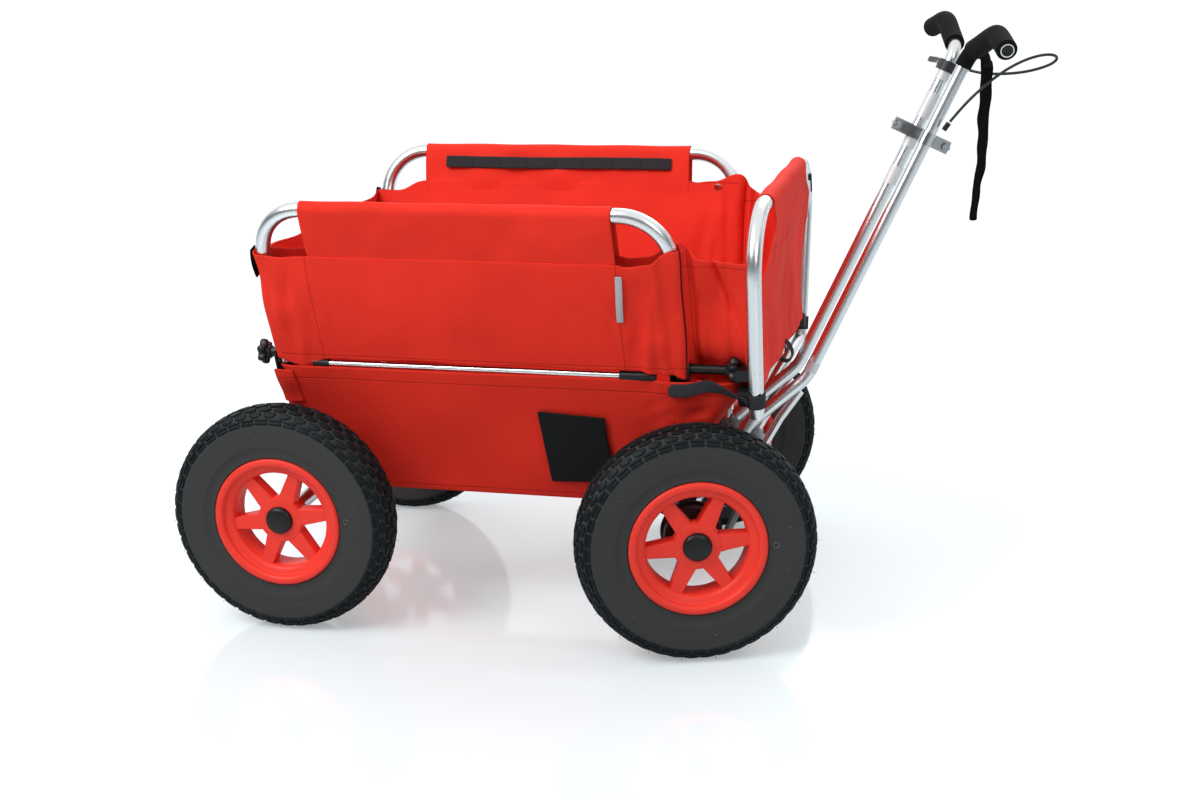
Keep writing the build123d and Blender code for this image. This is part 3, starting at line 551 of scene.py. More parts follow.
def cloth(rows: np.ndarray, uv: np.ndarray, name: str, thickness: float, closed: bool = False) -> bpy.types.Object:
    """A sheet from a grid of points.

    Args:
        rows: Points (rows, columns, 3) in the cart's millimetres.
        uv: Cloth coordinates (rows, columns, 2) in metres.
        name: The piece's name.
        thickness: Of the cloth, in millimetres.
        closed: Whether the last column joins the first.

    Returns:
        The sheet, in the frame's metres.
    """
    count, across = rows.shape[:2]
    points = rows.reshape(-1, 3) * MM
    points[:, 0] += ORIGIN_X
    faces, corners = [], []
    last = across if closed else across - 1
    for i in range(count - 1):
        for j in range(last):
            k = (j + 1) % across
            faces.append((i * across + j, i * across + k, (i + 1) * across + k, (i + 1) * across + j))
            corners += [(i, j, 0), (i, j + 1, k == 0), (i + 1, j + 1, k == 0), (i + 1, j, 0)]
    data = bpy.data.meshes.new(name)
    data.from_pydata(points.tolist(), [], faces)
    layer = data.uv_layers.new(name="UVMap")
    wrap = uv[:, -1] + (uv[:, -1] - uv[:, -2])
    layer.data.foreach_set("uv", [c for i, j, ends in corners for c in (wrap[i] if ends else uv[i, j])])
    obj = bpy.data.objects.new(name, data)
    bpy.context.scene.collection.objects.link(obj)
    modify(obj, "SUBSURF", levels=1, render_levels=1)
    modify(obj, "SOLIDIFY", thickness=thickness * MM, offset=0.0)
    for polygon in obj.data.polygons:
        polygon.use_smooth = True
    return obj


class Crumple:
    """Smooth, repeatable wrinkles: a sum of waves of set sizes and directions."""

    def __init__(self, seed: int, wave: float, waves: int = 9, upright: float = 1.0) -> None:
        """Draws the waves.

        Args:
            seed: Of the random draws.
            wave: Typical distance between folds, in millimetres.
            waves: How many are added.
            upright: Above 1 the folds run more up and down than along.
        """
        draw = np.random.default_rng(seed)
        angle, size = draw.uniform(0, math.pi, waves), draw.uniform(0.6, 2.2, waves) * wave
        self.kx = upright * np.cos(angle) * 2 * math.pi / size
        self.ky = np.sin(angle) / upright * 2 * math.pi / size
        self.phase, self.weight = draw.uniform(0, 2 * math.pi, waves), (size / size.max()) ** 1.2

    def __call__(self, x: np.ndarray, y: np.ndarray) -> np.ndarray:
        """Height of the wrinkles, about -1 to 1."""
        waves = zip(self.kx, self.ky, self.phase, self.weight)
        return sum(w * np.sin(a * x + b * y + p) for a, b, p, w in waves) / self.weight.sum() * 1.8


def bell(x: np.ndarray, centre: float, width: float) -> np.ndarray:
    """A smooth bump of height 1."""
    return np.exp(-((x - centre) / width) ** 2)


def rise(x: np.ndarray, centre: float, width: float) -> np.ndarray:
    """A smooth step from 0 to 1."""
    return 1 / (1 + np.exp(-(x - centre) / width))


def leaning(side: Side, x: np.ndarray, up: np.ndarray, out: np.ndarray) -> np.ndarray:
    """Points in a side frame: along the cart, up the leg from the hinge, and outwards."""
    y = side.value * (HINGE_HALF + up * math.sin(LEAN) + out * math.cos(LEAN))
    return np.stack(np.broadcast_arrays(x, y, HINGE_Z + up * math.cos(LEAN) - out * math.sin(LEAN)), -1)


# ------------------------------------------------------------------------------------------------ wheels
@dataclass
class Wheel:
    """A pneumatic tyre on a six-spoked plastic rim, made once about Z and set in four places."""

    outer: float = 200.0
    pitches: int = 44
    spokes: int = 6
    spoke_turn: float = 35.0
    far_roll: float = 21.0
    half: Sequence[tuple[float, float]] = (
        (104, 29), (113.5, 32.5), (116.5, 36.5), (119.5, 36.2), (123, 35.9), (134, 38.2), (136, 39.4), (138, 39.2),
        (150, 41.2), (163, 41.9), (170, 41.4), (172, 41.8), (176, 40.6), (183, 37.2), (189, 32.0), (193, 26.0),
        (195.3, 16.0), (196.2, 0.0))

    def tread(self, radius: float, height: float, tilt: float, size: tuple[float, float, float], sides: int,
              shift: float) -> bpy.types.Object:
        """One row of moulded blocks, set round the tyre.

        Args:
            radius: From the axle to the middle of a block.
            height: Of the block from the tyre's middle plane.
            tilt: Degrees that the block's face leans from facing outwards along the radius towards the side.
            size: Round the tyre, across it, and thickness.
            sides: Of the block's outline.
            shift: Start of the row, in pitches.

        Returns:
            The row.
        """
        deselect()
        bpy.ops.mesh.primitive_cylinder_add(vertices=sides, radius=0.5, depth=1.0, rotation=(0, 0, math.pi / sides))
        piece = bpy.context.object
        bpy.ops.object.transform_apply(rotation=True)
        reach = max(v.co.x for v in piece.data.vertices) * 2
        piece.scale = (size[1] * MM / reach, size[0] * MM / reach, size[2] * MM)
        bpy.ops.object.transform_apply(scale=True)
        modify(piece, "BEVEL", width=1.3 * MM, segments=2, limit_method="ANGLE")
        turn = Matrix.Rotation(math.radians(90 - tilt), 4, "Y")
        place(piece, Matrix.Translation((radius * MM, 0, height * MM)) @ turn)
        place(piece, Matrix.Rotation(2 * math.pi * shift / self.pitches, 4, "Z"))
        return ring_of(piece, self.pitches)

    def whiskers(self) -> bpy.types.Object:
        """The thin rubber hairs that moulding leaves round both shoulders."""
        rows = []
        for sign in (-1, 1):
            deselect()
            bpy.ops.mesh.primitive_cone_add(vertices=4, radius1=0.45 * MM, radius2=0.2 * MM, depth=5.5 * MM)
            hair = bpy.context.object
            lean = Matrix.Rotation(math.radians(72 - sign * 24), 4, "Y")
            place(hair, Matrix.Translation((199.2 * MM, 0, sign * 24.5 * MM)) @ lean)
            rows.append(ring_of(hair, self.pitches // 2))
        return join(rows)

    def make_tyre(self) -> tuple[bpy.types.Object, bpy.types.Object]:
        """Carcass and tread blocks."""
        profile = list(self.half) + [(r, -h) for r, h in reversed(self.half[:-1])] + [self.half[0]]
        carcass = lathe(profile, 144)
        smooth(carcass, 50)
        around = 2 * math.pi * self.outer / self.pitches
        rows = []
        for sign in (1, -1):
            rows += [self.tread(178.5, sign * 40.0, sign * 70, (around * 0.78, 5.0, 4.0), 4, 0.0),
                     self.tread(184.5, sign * 36.6, sign * 58, (around * 0.80, 5.6, 4.4), 4, 0.0),
                     self.tread(190.6, sign * 29.6, sign * 42, (around * 0.90, 12.5, 5.0), 6, 0.5),
                     self.tread(195.4, sign * 17.0, sign * 16, (around * 0.90, 14.0, 5.4), 6, 0.0)]
        rows.append(self.tread(197.3, 0.0, 0, (around * 0.90, 15.0, 5.2), 6, 0.5))
        blocks = join(rows)
        smooth(blocks, 30)
        return carcass, blocks

    def make_rim(self) -> bpy.types.Object:
        """Barrel, spokes and hub."""
        front_lip = [(113.2, 32), (114.3, 34), (114.0, 37), (111.5, 39.3), (108, 40), (104, 39.4), (100.8, 37.6),
                     (99.4, 34.6), (99.0, 31.5), (97.2, 30.4), (95, 29.6), (90.5, 28.0), (87.2, 26.0), (85.2, 23.0)]
        well = [(84.6, 18), (84.4, -6), (86, -20), (92, -27), (98, -31), (100.5, -36)]
        back_lip = [(104, -39), (108, -40), (112, -38.6), (113.6, -35.5), (112.6, -32.4), (108, -30.6), (102, -28.5)]
        bead = [(100, -24), (100, 24), (103, 28.5), (108, 30.6), (113.2, 32)]
        barrel = lathe(front_lip + well + back_lip + bead, 128)
        smooth(barrel, 48)
        parts = []
        for index in range(self.spokes):
            arm = block((72, 34, 26), (52, 0, 10), 0.0, 0.60)
            modify(arm, "BEVEL", width=2.2 * MM, segments=3, limit_method="ANGLE")
            turn = math.radians(90 + self.spoke_turn + index * 360 / self.spokes)
            parts.append(place(arm, Matrix.Rotation(turn, 4, "Z")))
        hub = lathe([(0, 24.4), (33, 24.4), (38.5, 23.6), (40.5, 21), (40.5, 6), (37, -3), (30, -3), (30, -26),
                     (27, -28), (0, -28)], 72)
        smooth(hub, 40)
        return join([barrel, *parts, hub])

    def make_cap(self) -> bpy.types.Object:
        """Domed hub cap."""
        cap = lathe([(0, 34.6), (9, 34.4), (16, 33.6), (20.5, 32.2), (23.2, 30.0), (24.0, 27.0), (24.0, 24.0),
                     (0, 24.0)], 64)
        smooth(cap, 40)
        return cap

    def make_mark(self) -> bpy.types.Object:
        """Small raised round mark on the sidewall, and the faint moulding ticks round it."""
        ring = lathe([(3.6, 0.2), (4.2, 0.9), (4.9, 0.9), (5.4, 0.2), (3.6, 0.2)], 32)
        place(ring, Matrix.Translation((127.5 * MM, 0, 37.0 * MM)) @ Matrix.Rotation(math.radians(-11), 4, "Y"))
        ticks = []
        for angle in (38, 74, 122, 201, 246, 318):
            tick = block((9.0, 0.8, 0.7), (122.5, 0, 36.3), 0.2)
            ticks.append(place(tick, Matrix.Rotation(math.radians(angle), 4, "Z")))
        for angle in (12, 95, 143, 226, 280, 344):
            deselect()
            bpy.ops.mesh.primitive_uv_sphere_add(segments=10, ring_count=6, radius=1.5 * MM)
            dot = bpy.context.object
            ticks.append(place(dot, Matrix.Rotation(math.radians(angle), 4, "Z")
                               @ Matrix.Translation((152 * MM, 0, 41.2 * MM))))
        return join([ring, *ticks])

    def build(self) -> None:
        """Makes the parts once and places a copy at each corner."""
        carcass, blocks = self.make_tyre()
        kit = {"tyre": (carcass, TYRE, ("tyre",)), "tread": (join([blocks, self.whiskers()]), BLOCKS, ()),
               "rim": (self.make_rim(), RIM, ("rim",)), "hub_cap": (self.make_cap(), NYLON, ("hub_cap",)),
               "sidewall_marks": (self.make_mark(), MARK, ())}
        for side in Side:
            facing = Matrix.Rotation(math.radians(90 * -side.value), 4, "X")
            for end, turn, roll in (("rear", 0.0, 4.0), ("front", STEER, 0.0)):
                low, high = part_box(f"tyre_{end}_{side.word}")
                where = Matrix.Translation((low + high) / 2) @ Matrix.Rotation(turn, 4, "Z") @ facing
                rolled = roll if side is Side.NEAR else self.far_roll + roll
                where = where @ Matrix.Rotation(math.radians(rolled), 4, "Z")
                for word, (master, finish, nodes) in kit.items():
                    piece = place(twin(master), where)
                    settle(piece, f"{word}_{end}_{side.word}_looks", finish, f"wheel_{end}_{side.word}",
                           [f"{node}_{end}_{side.word}" for node in nodes])
        for master, _, _ in kit.values():
            bpy.data.objects.remove(master)


# ------------------------------------------------------------------------------------------------ metal frame
@dataclass
class Metalwork:
    """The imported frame's own tubes, castings and fittings, dressed, and the knobs modelled again."""

    finishes: dict = field(default_factory=lambda: {
        "aluminium_tube": ALUMINIUM, "zinc_steel": ZINC, "black_plastic": NYLON, "board": BOARD, "cable": SHEATH})
    dark: Sequence[str] = ("knuckle_near", "knuckle_far", "brake_drum_near", "brake_drum_far", "tie_rod",
                           "front_castings", "brake_lever_bracket", "brake_lever")

    def dress(self) -> None:
        """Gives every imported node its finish."""
        slots = {row["node"]: row["material_slot"] for row in frame["record"]["subparts"]}
        for name, node in frame["nodes"].items():
            finish = CASTING if name in self.dark else self.finishes.get(slots[name], ALUMINIUM)
            node.data.materials.clear()
            node.data.materials.append(finish.material())

    def knob(self, end: str, side: Side) -> None:
        """Six-lobed hand knob with a dished face, on its bolt."""
        knob = lathe([(0, 9), (7, 9), (9.5, 10.5), (14, 11.5), (17.5, 10.6), (19, 8), (19, 1), (17.5, -1.5), (12, -3),
                      (10.5, -9), (9, -10), (0, -10)], 72)
        lobes, depth, lobe_start = 6, 0.17, 12.0
        for vertex in knob.data.vertices:
            radius = math.hypot(vertex.co.x, vertex.co.y)
            if radius > lobe_start * MM:
                grow = 1 + depth * math.cos(lobes * math.atan2(vertex.co.y, vertex.co.x))
                vertex.co.x *= grow
                vertex.co.y *= grow
        smooth(knob, 40)
        low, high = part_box(f"star_knob_{end}_{side.word}")
        out = -90 if end == "rear" else 90
        place(knob, Matrix.Translation((low + high) / 2) @ Matrix.Rotation(math.radians(out), 4, "Y"))
        settle(knob, f"star_knob_{end}_{side.word}_looks", NYLON, f"knob_{end}_{side.word}",
               [f"star_knob_{end}_{side.word}"])

    def build(self) -> None:
        """Dresses the nodes and makes the knobs."""
        self.dress()
        for side in Side:
            for end in ("rear", "front"):
                self.knob(end, side)


# ------------------------------------------------------------------------------------------------ basket
@dataclass
class SideCloth:
    """One side's cloth: a flat loop round both legs with a sleeve over the top rail."""

    side: Side
    top_x: tuple[float, float] = (78.0, 600.0)
    stitch_up: float = 198.0
    out: float = 15.5
    tall: float = 200.0
    belly: float = 5.5
    steps: int = 110

    def height(self, x: np.ndarray) -> np.ndarray:
        """Top edge of the outer loop, as a distance up from the hinge."""
        return (self.stitch_up - 1.0 - 5.0 * bell(x, 632.0, 24.0) + 22.0 * rise(x, 664.0, 7.0)
                + 2.5 * np.sin(x / 9.0) * (x > 610) - 3.0 * bell(x, 30.0, 26.0))

    def bulge(self, x: np.ndarray, up: np.ndarray) -> np.ndarray:
        """How far the outer face stands off its plane: slack, folds and puckers near the legs."""
        broad, fine = Crumple(11 + self.side.value, 210.0, 8), Crumple(23 + self.side.value, 46.0, 10, 1.5)
        t = np.clip(up / self.tall, 0, 1)
        # Belly of the face between the legs, fullest a little below its middle.
        middle = np.sin(np.pi * np.clip((x - REAR_X) / (FRONT_X - REAR_X), 0, 1)) ** 0.4
        slack = self.belly * middle * np.sin(np.pi * np.clip(1 - t, 0, 1) ** 0.8)
        # Small creases gather beside both legs.
        ends = bell(x, 20.0, 52.0) + bell(x, 655.0, 60.0)
        folds = 3.0 * broad(x, up) + fine(x, up) * (0.6 + 4.4 * ends)
        folds = folds * (0.3 + 0.7 * np.sin(np.pi * np.clip(t, 0.02, 1)))
        # Pleats before the front leg, deepest at the foot, and one beside the rear leg.
        pleats = 7.5 * bell(x, 648.0 - 12 * (1 - t), 10.0) * (1 - 0.7 * t)
        pleats -= 8.0 * bell(x, 622.0 + 22 * t, 10.0) * (1 - 0.5 * t)
        pleats += 6.0 * bell(x, 668.0 - 6 * t, 7.0) - 7.0 * bell(x, 678.0 - 4 * t, 5.0)
        pleats += 4.5 * bell(x, 32.0 + 16 * t, 9.0) * (1 - t) ** 1.5
        return np.maximum(slack + folds + pleats, -1.5)

    def loop(self) -> None:
        """The loop round both legs: outer face, leg sleeves and inner face."""
        rows, turns, span = 36, 9, self.steps
        mid = np.linspace(REAR_X, FRONT_X, span)
        arc = np.linspace(0, math.pi, turns + 2)[1:-1]
        x = np.concatenate([mid, FRONT_X + self.out * np.sin(arc), mid[::-1], REAR_X - self.out * np.sin(arc)])
        level = np.full(span, self.out)
        out = np.concatenate([level, self.out * np.cos(arc), -level, -self.out * np.cos(arc)])
        face = np.concatenate([np.ones(span), np.cos(arc) * 0.5 + 0.5, np.zeros(span), 0.5 - np.cos(arc) * 0.5])
        u = np.concatenate([mid, FRONT_X + arc * self.out, mid[::-1] + 1000, REAR_X - arc * self.out])
        share = np.linspace(0, 1, rows)[:, None]
        foot = np.where(face > 0.5, 1.0, -16.0) - 17.0 * bell(x, 30.0, 34.0) * (face > 0.5) - 6.0 * bell(x, 655.0, 30.0)
        foot = foot + 1.8 * np.sin(x / 31.0) - 14.0 * bell(x, FRONT_X + 12, 16.0)
        top = self.height(x)
        if self.side is Side.FAR:
            hem = 19.0 * rise(x, 45.0, 9.0) + 8.0 * rise(x, 595.0, 5.0) - 12.0 * rise(x, 664.0, 8.0)
            top = top + (1 - face) * hem
        up = foot[None] + (top - foot)[None] * share
        xs = np.broadcast_to(x, up.shape).copy()
        swell = self.bulge(xs, up)
        outs = out[None] + swell * face[None] - 0.55 * swell * (1 - face[None])
        corner = Crumple(5 + self.side.value, 60.0, 8)(up, xs)
        behind, ahead = x < REAR_X, x > FRONT_X
        xs += np.where(behind, -3.0 - 4.0 * corner, 0.0) + np.where(ahead, 2.5 + 3.0 * corner, 0.0)
        outs = np.where(ahead | behind, outs * (1.05 + 0.08 * corner), outs)
        uv = np.stack([np.broadcast_to(u * MM, up.shape), (up * math.cos(LEAN) + HINGE_Z) * MM], -1)
        sheet = cloth(leaning(self.side, xs, up, outs), uv, "loop", 1.3, closed=True)
        settle(sheet, f"side_pocket_{self.side.word}", NEAR_CLOTH, f"side_frame_{self.side.word}",
               [f"side_panel_{self.side.word}"])

    def top(self) -> None:
        """The part that passes over the top rail, stitched to the loop on both faces."""
        low, reach = self.stitch_up - 3.0, TUBE + 1.6
        straight, arc = np.linspace(low, HOOP_RISE, 14), np.linspace(0, math.pi, 14)[1:-1]
        up = np.concatenate([straight, HOOP_RISE + reach * np.sin(arc), straight[::-1]])
        out = np.concatenate([np.full(14, reach), reach * np.cos(arc), np.full(14, -reach)])
        settle_in = np.clip((HOOP_RISE - up) / (HOOP_RISE - low), 0, 1)
        ups, v = np.meshgrid(up, np.linspace(0, 1, 84), indexing="ij")
        outs = np.broadcast_to(out[:, None], v.shape).copy()
        slack = np.broadcast_to(settle_in[:, None], v.shape)
        xs = self.top_x[0] - 3.5 * (1 - slack) + v * (self.top_x[1] - self.top_x[0] + 1.5 * (1 - slack))
        ripple = Crumple(31 + self.side.value, 95.0, 8, 1.6)(xs, ups)
        fold = np.sin(np.pi * slack) * (0.4 + 1.1 * ripple) * 3.0
        outs += np.sign(out)[:, None] * (fold + 1.2 * slack)
        ups += np.where(ups > HOOP_RISE, 0.5 * np.sin(xs / 23.0), 0.0)
        uv = np.stack([xs * MM, (ups * math.cos(LEAN) + HINGE_Z) * MM], -1)
        sheet = cloth(leaning(self.side, xs, ups, outs), uv, "top", 1.3)
        settle(sheet, f"rail_sleeve_{self.side.word}", TOP_CLOTH, f"side_frame_{self.side.word}")

    def inside_webbing(self) -> None:
        """Strip of black webbing sewn along the inner face in eight loops."""
        low, high, loops = 119.0, 565.0, 8
        u, v = np.meshgrid(np.linspace(low, high, 161), np.linspace(240.5, 262.5, 5))
        bow = 3.4 * np.abs(np.sin(np.pi * (u - low) / (high - low) * loops)) ** 0.4
        rows = leaning(self.side, u, v + 0.6 * np.sin(u / 60), -(TUBE + 6.6 + bow))
        strip = cloth(rows, np.stack([u * MM, v * MM], -1), "webbing", 1.4)
        settle(strip, f"inside_webbing_{self.side.word}", STRAP, f"side_frame_{self.side.word}")

    def build(self) -> None:
        """Makes this side's cloth."""
        self.loop()
        self.top()
        self.inside_webbing()


@dataclass
class Tub:
    """The lower basket: walls round the legs, a nose that slopes up to the front hoop, and a floor."""

    floor: float = 214.5
    top: float = 455.0
    rear: float = -26.0
    nose_low: float = 626.0
    nose_high: float = 789.0
    nose_tall: float = 222.0

    def ring(self, z: float, count: int = 132) -> np.ndarray:
        """Outline of the tub at height z, in plan, starting at the middle of the rear end."""
        wall = leg_y(z) + TUB_OFFSET + TUB_FLARE * (z - TUB_FLOOR_Z) / TUB_TALL
        front = self.nose_low + (self.nose_high - self.nose_low) * np.clip((z - TUB_FLOOR_Z) / self.nose_tall, 0, 1)
        if front > FRONT_X + 25:
            half_nose = min(wall + 8.0, nose_y(z) - 10)
            side = [(FRONT_X + 8, wall), (front - 6, half_nose), (front, half_nose - 28)]
        else:
            side = [(front - 26, wall), (front - 6, wall - 10), (front, wall - 36)]
        half = [(self.rear, 0.0), (self.rear - 3, wall * 0.5), (self.rear, wall - 22), (self.rear + 8, wall - 4),
                (REAR_X + 10, wall), *side, (front + 2, side[-1][1] * 0.5), (front + 2, 0.0)]
        pts = np.array(half + [(x, -y) for x, y in reversed(half[1:-1])])
        closed = np.vstack([pts, pts[:1]])
        run = run_of(closed)
        s = np.linspace(0, run[-1], count, endpoint=False)
        return np.stack([np.interp(s, run, closed[:, 0]), np.interp(s, run, closed[:, 1])], -1)

    def build(self) -> None:
        """Walls and floor as one sheet."""
        heights = np.concatenate([np.linspace(self.top, self.floor + 10, 30), [self.floor + 4, self.floor + 1]])
        rows, uvs = [], []
        around = None
        for z in heights:
            loop = self.ring(z)
            loop = (loop + np.roll(loop, 1, 0) * 0.6 + np.roll(loop, -1, 0) * 0.6) / 2.2
            if around is None:
                around = run_of(loop)
            rows.append(np.column_stack([loop, np.full(len(loop), z)]))
            uvs.append(np.column_stack([around * MM, np.full(len(loop), z * MM)]))
        base = rows[-1]
        centre = base.mean(0)
        for share in (0.94, 0.8, 0.5, 0.2, 0.02):
            inner = centre + (base - centre) * np.array([share, share, 1])
            inner[:, 2] = self.floor - 1.2 * (1 - share)
            rows.append(inner)
            uvs.append(uvs[-1] - np.array([0, 0.03]))
        grid, uv = np.array(rows), np.array(uvs)
        x, y, z = grid[..., 0], grid[..., 1], grid[..., 2]
        wall = np.clip((z - 222) / 30, 0, 1)
        tall = np.clip((z - TUB_FLOOR_Z) / TUB_TALL, 0, 1)
        broad, fine = Crumple(41, 190.0, 8), Crumple(43, 48.0, 10, 1.3)
        along = np.where(np.abs(y) > 40, x, y + 900)
        near_corner = bell(x, 676, 60) + bell(x, 10, 34)
        push = wall * (2.6 * broad(along, z) + fine(along, z) * (0.35 + 2.6 * near_corner))
        push += 2.2 * np.sin(np.pi * tall)
        # Pleats beside the front leg, then the crease where the nose folds in.
        push += 4.0 * wall * bell(x, 664 - 0.05 * (z - 300), 10) - 4.0 * wall * bell(x, 644, 11)
        push += 5.0 * wall * bell(x, 690, 12) - 15.0 * wall * bell(x, 713, 8)
        outward = np.sign(y) * (np.abs(y) > 60)
        grid[..., 1] += outward * push * (x < self.nose_high - 20)
        nose = (x > 640) & (np.abs(y) < 150)
        grid[..., 0] += np.where(nose, wall * (3.5 * fine(y, z) + 3 * np.sin(np.pi * tall)), 0)
        sheet = cloth(grid, uv, "tub", 1.4, closed=True)
        settle(sheet, "tub_cloth_piece", SHADED_TUB_CLOTH, "root", ["tub"])
        self.patch()
        self.corner_tab()

    def patch(self) -> None:
        """Black mesh pocket sewn on the near wall."""
        top_rear, top_front, foot_front, foot_rear = np.array(
            [(441.0, 388.0), (558.5, 381.0), (561.0, 256.0), (451.0, 251.0)])
        u, v = np.meshgrid(np.linspace(0, 1, 22), np.linspace(0, 1, 22))
        top, foot = (rear + (front - rear) * u[..., None]
                     for rear, front in ((top_rear, top_front), (foot_rear, foot_front)))
        plan = foot + (top - foot) * v[..., None]
        x = plan[..., 0] + 1.6 * np.sin(v * 6.0) * u
        z = plan[..., 1] + 3.0 * bell(u, 0.45, 0.25) * (v > 0.5) * (v - 1)
        tall = (z - TUB_FLOOR_Z) / TUB_TALL
        y = -(leg_y(z) + TUB_OFFSET + TUB_FLARE * tall + 5.6 + 2.6 * np.sin(np.pi * np.clip(tall, 0, 1)))
        y -= 2.6 * Crumple(41, 190.0, 8)(x, z) + 0.8
        sheet = cloth(np.stack([x, y, z], -1), np.stack([x, z], -1) * MM, "patch", 1.2)
        settle(sheet, "tub_patch", PATCH, "root")

    def corner_tab(self) -> None:
        """Bound flap of the tub at both rear corners."""
        for side in Side:
            u, v = np.meshgrid(np.linspace(0, 1, 10), np.linspace(0, 1, 16))
            x = -24 + 34 * u + 9 * v
            z = 448 - 62 * v
            y = side.value * (leg_y(z) + 23 + 4 * np.sin(np.pi * u) + 2 * np.sin(6 * v))
            sheet = cloth(np.stack([x, y, z], -1), np.stack([x, z], -1) * MM, "tab", 1.6)
            # The flaps take the tub's darkened cloth: painted shade.
            settle(sheet, f"tub_corner_flap_{side.word}", SHADED_TUB_CLOTH, "root")


@dataclass
class Ends:
    """Rear end panel, the two front wings and the flap over the front hoop."""

    foot: float = 442.0

    def rear(self) -> None:
        """Panel between the two rear legs, gathered as the sides fold."""
        u, v = np.meshgrid(np.linspace(-1, 1, 90), np.linspace(0, 1, 34))
        z = self.foot + (662.0 + 4 * np.abs(u) ** 4 - self.foot - 5 * np.cos(u * 1.5)) * v
        y = u * (leg_y(z) + 4.0)
        x = -19.0 - 5.0 * Crumple(53, 110.0, 9, 1.5)(y, z) * (1 - 0.6 * np.abs(u) ** 6) - 5 * np.sin(np.pi * v)
        sheet = cloth(np.stack([x, y, z], -1), np.stack([y, z], -1) * MM, "rear", 1.3)
        settle(sheet, "rear_end_cloth", NOSE_CLOTH, "root", ["upper_end_panels"])
        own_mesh(sheet)

    def wing(self, side: Side) -> None:
        """Slack wing between a front leg and the front hoop."""
        u, v = np.meshgrid(np.linspace(0, 1, 48), np.linspace(0, 1, 44))
        top = 660.0 + 34.0 * np.exp(-((u / 0.17) ** 1.5))
        if side is Side.FAR:
            top = top + 7.0 * bell(u, 0.62, 0.12)
        z = self.foot + 4 + (top - self.foot) * v
        start, end = leg_y(z) + 2.0, nose_y(z) + 2.0
        leg = FRONT_X + 13
        x = leg + (nose_x(z) - 8 - leg) * u
        sag = 17.0 * np.sin(np.pi * u) * np.sin(np.pi * np.clip(v * 0.9 + 0.08, 0, 1))
        fine, broad = Crumple(61 + side.value, 34.0, 10, 1.7), Crumple(67 + side.value, 90.0, 8, 1.5)
        # A dart from the top hem, and the cloth drawn in behind the knob and its stem.
        dart = bell(u, 0.46 + 0.75 * (1 - v), 0.05) * 13.0 * np.clip(v * 2.0 - 0.8, 0, 1) + 11.0 * bell(u, 0.12, 0.06)
        behind_knob = 34.0 * bell(z, 468, 34) * np.clip(9.0 * u, 0, 1) * np.clip(9.0 * (1 - u), 0, 1)
        folds = (4.2 * fine(x, z) + 6.0 * broad(x, z)) * np.sin(np.pi * u)
        y = side.value * (start + (end - start) * u - sag + folds - dart - behind_knob)
        uv = np.stack([u * 0.15, z * MM], -1)
        sheet = cloth(np.stack([x, y, z], -1), uv, "wing", 1.3)
        settle(sheet, f"front_wing_{side.word}", NOSE_CLOTH, None)
        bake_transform(sheet)

    def flap(self) -> None:
        """Sheet over the front hoop: a sleeve round its top tube and a face down to the cross tube."""
        top_z, low_z = RAIL_Z + NOSE_RISE, 446.0
        reach = TUBE + 2.0
        arc = np.linspace(-0.15 * math.pi, math.pi, 16)
        drop = np.linspace(0, 1, 46)[1:]
        zs = np.concatenate([top_z + reach * np.sin(arc), top_z - (top_z - low_z) * drop])[:, None]
        outs = np.concatenate([-reach * np.cos(arc), np.full(len(drop), reach)])[:, None]
        u = np.linspace(-1, 1, 96)
        z = np.broadcast_to(zs, (len(zs), len(u))).copy()
        # Half widths at these heights: the near edge is cut back high up, the far one only near the tube.
        heights = [446, 500, 560, 600, 640, 681, 705, 735, 760]
        near = np.interp(zs, heights, [236, 246, 255, 246, 190, 128, 140, 184, 186])
        far = np.interp(zs, heights, [236, 246, 255, 262, 268, 262, 215, 180, 180])
        y = np.where(u[None] < 0, u[None] * near, u[None] * far)
        ripple, fine = Crumple(71, 120.0, 8), Crumple(73, 44.0, 10, 1.4)
        loose = np.clip((top_z - z) / 120, 0, 1)
        folds = 4.5 * ripple(y, z) + 0.8 * fine(y, z) - 6 * bell(z, 560, 110)
        x = nose_x(z) + outs * (1 - 0.5 * loose) + loose * folds
        z += np.where(np.abs(outs) < reach * 1.01, 1.2 * np.sin(y / 26.0), 0)
        uv = np.stack([np.broadcast_to(y * MM + 2.0, z.shape), z * MM], -1)
        sheet = cloth(np.stack([x, np.broadcast_to(y, z.shape), z], -1), uv, "flap", 1.3)
        settle(sheet, "front_flap_cloth", NOSE_CLOTH, "root", ["nose_flap"])

    def build(self) -> None:
        """Makes the ends."""
        self.rear()
        for side in Side:
            self.wing(side)
        self.flap()


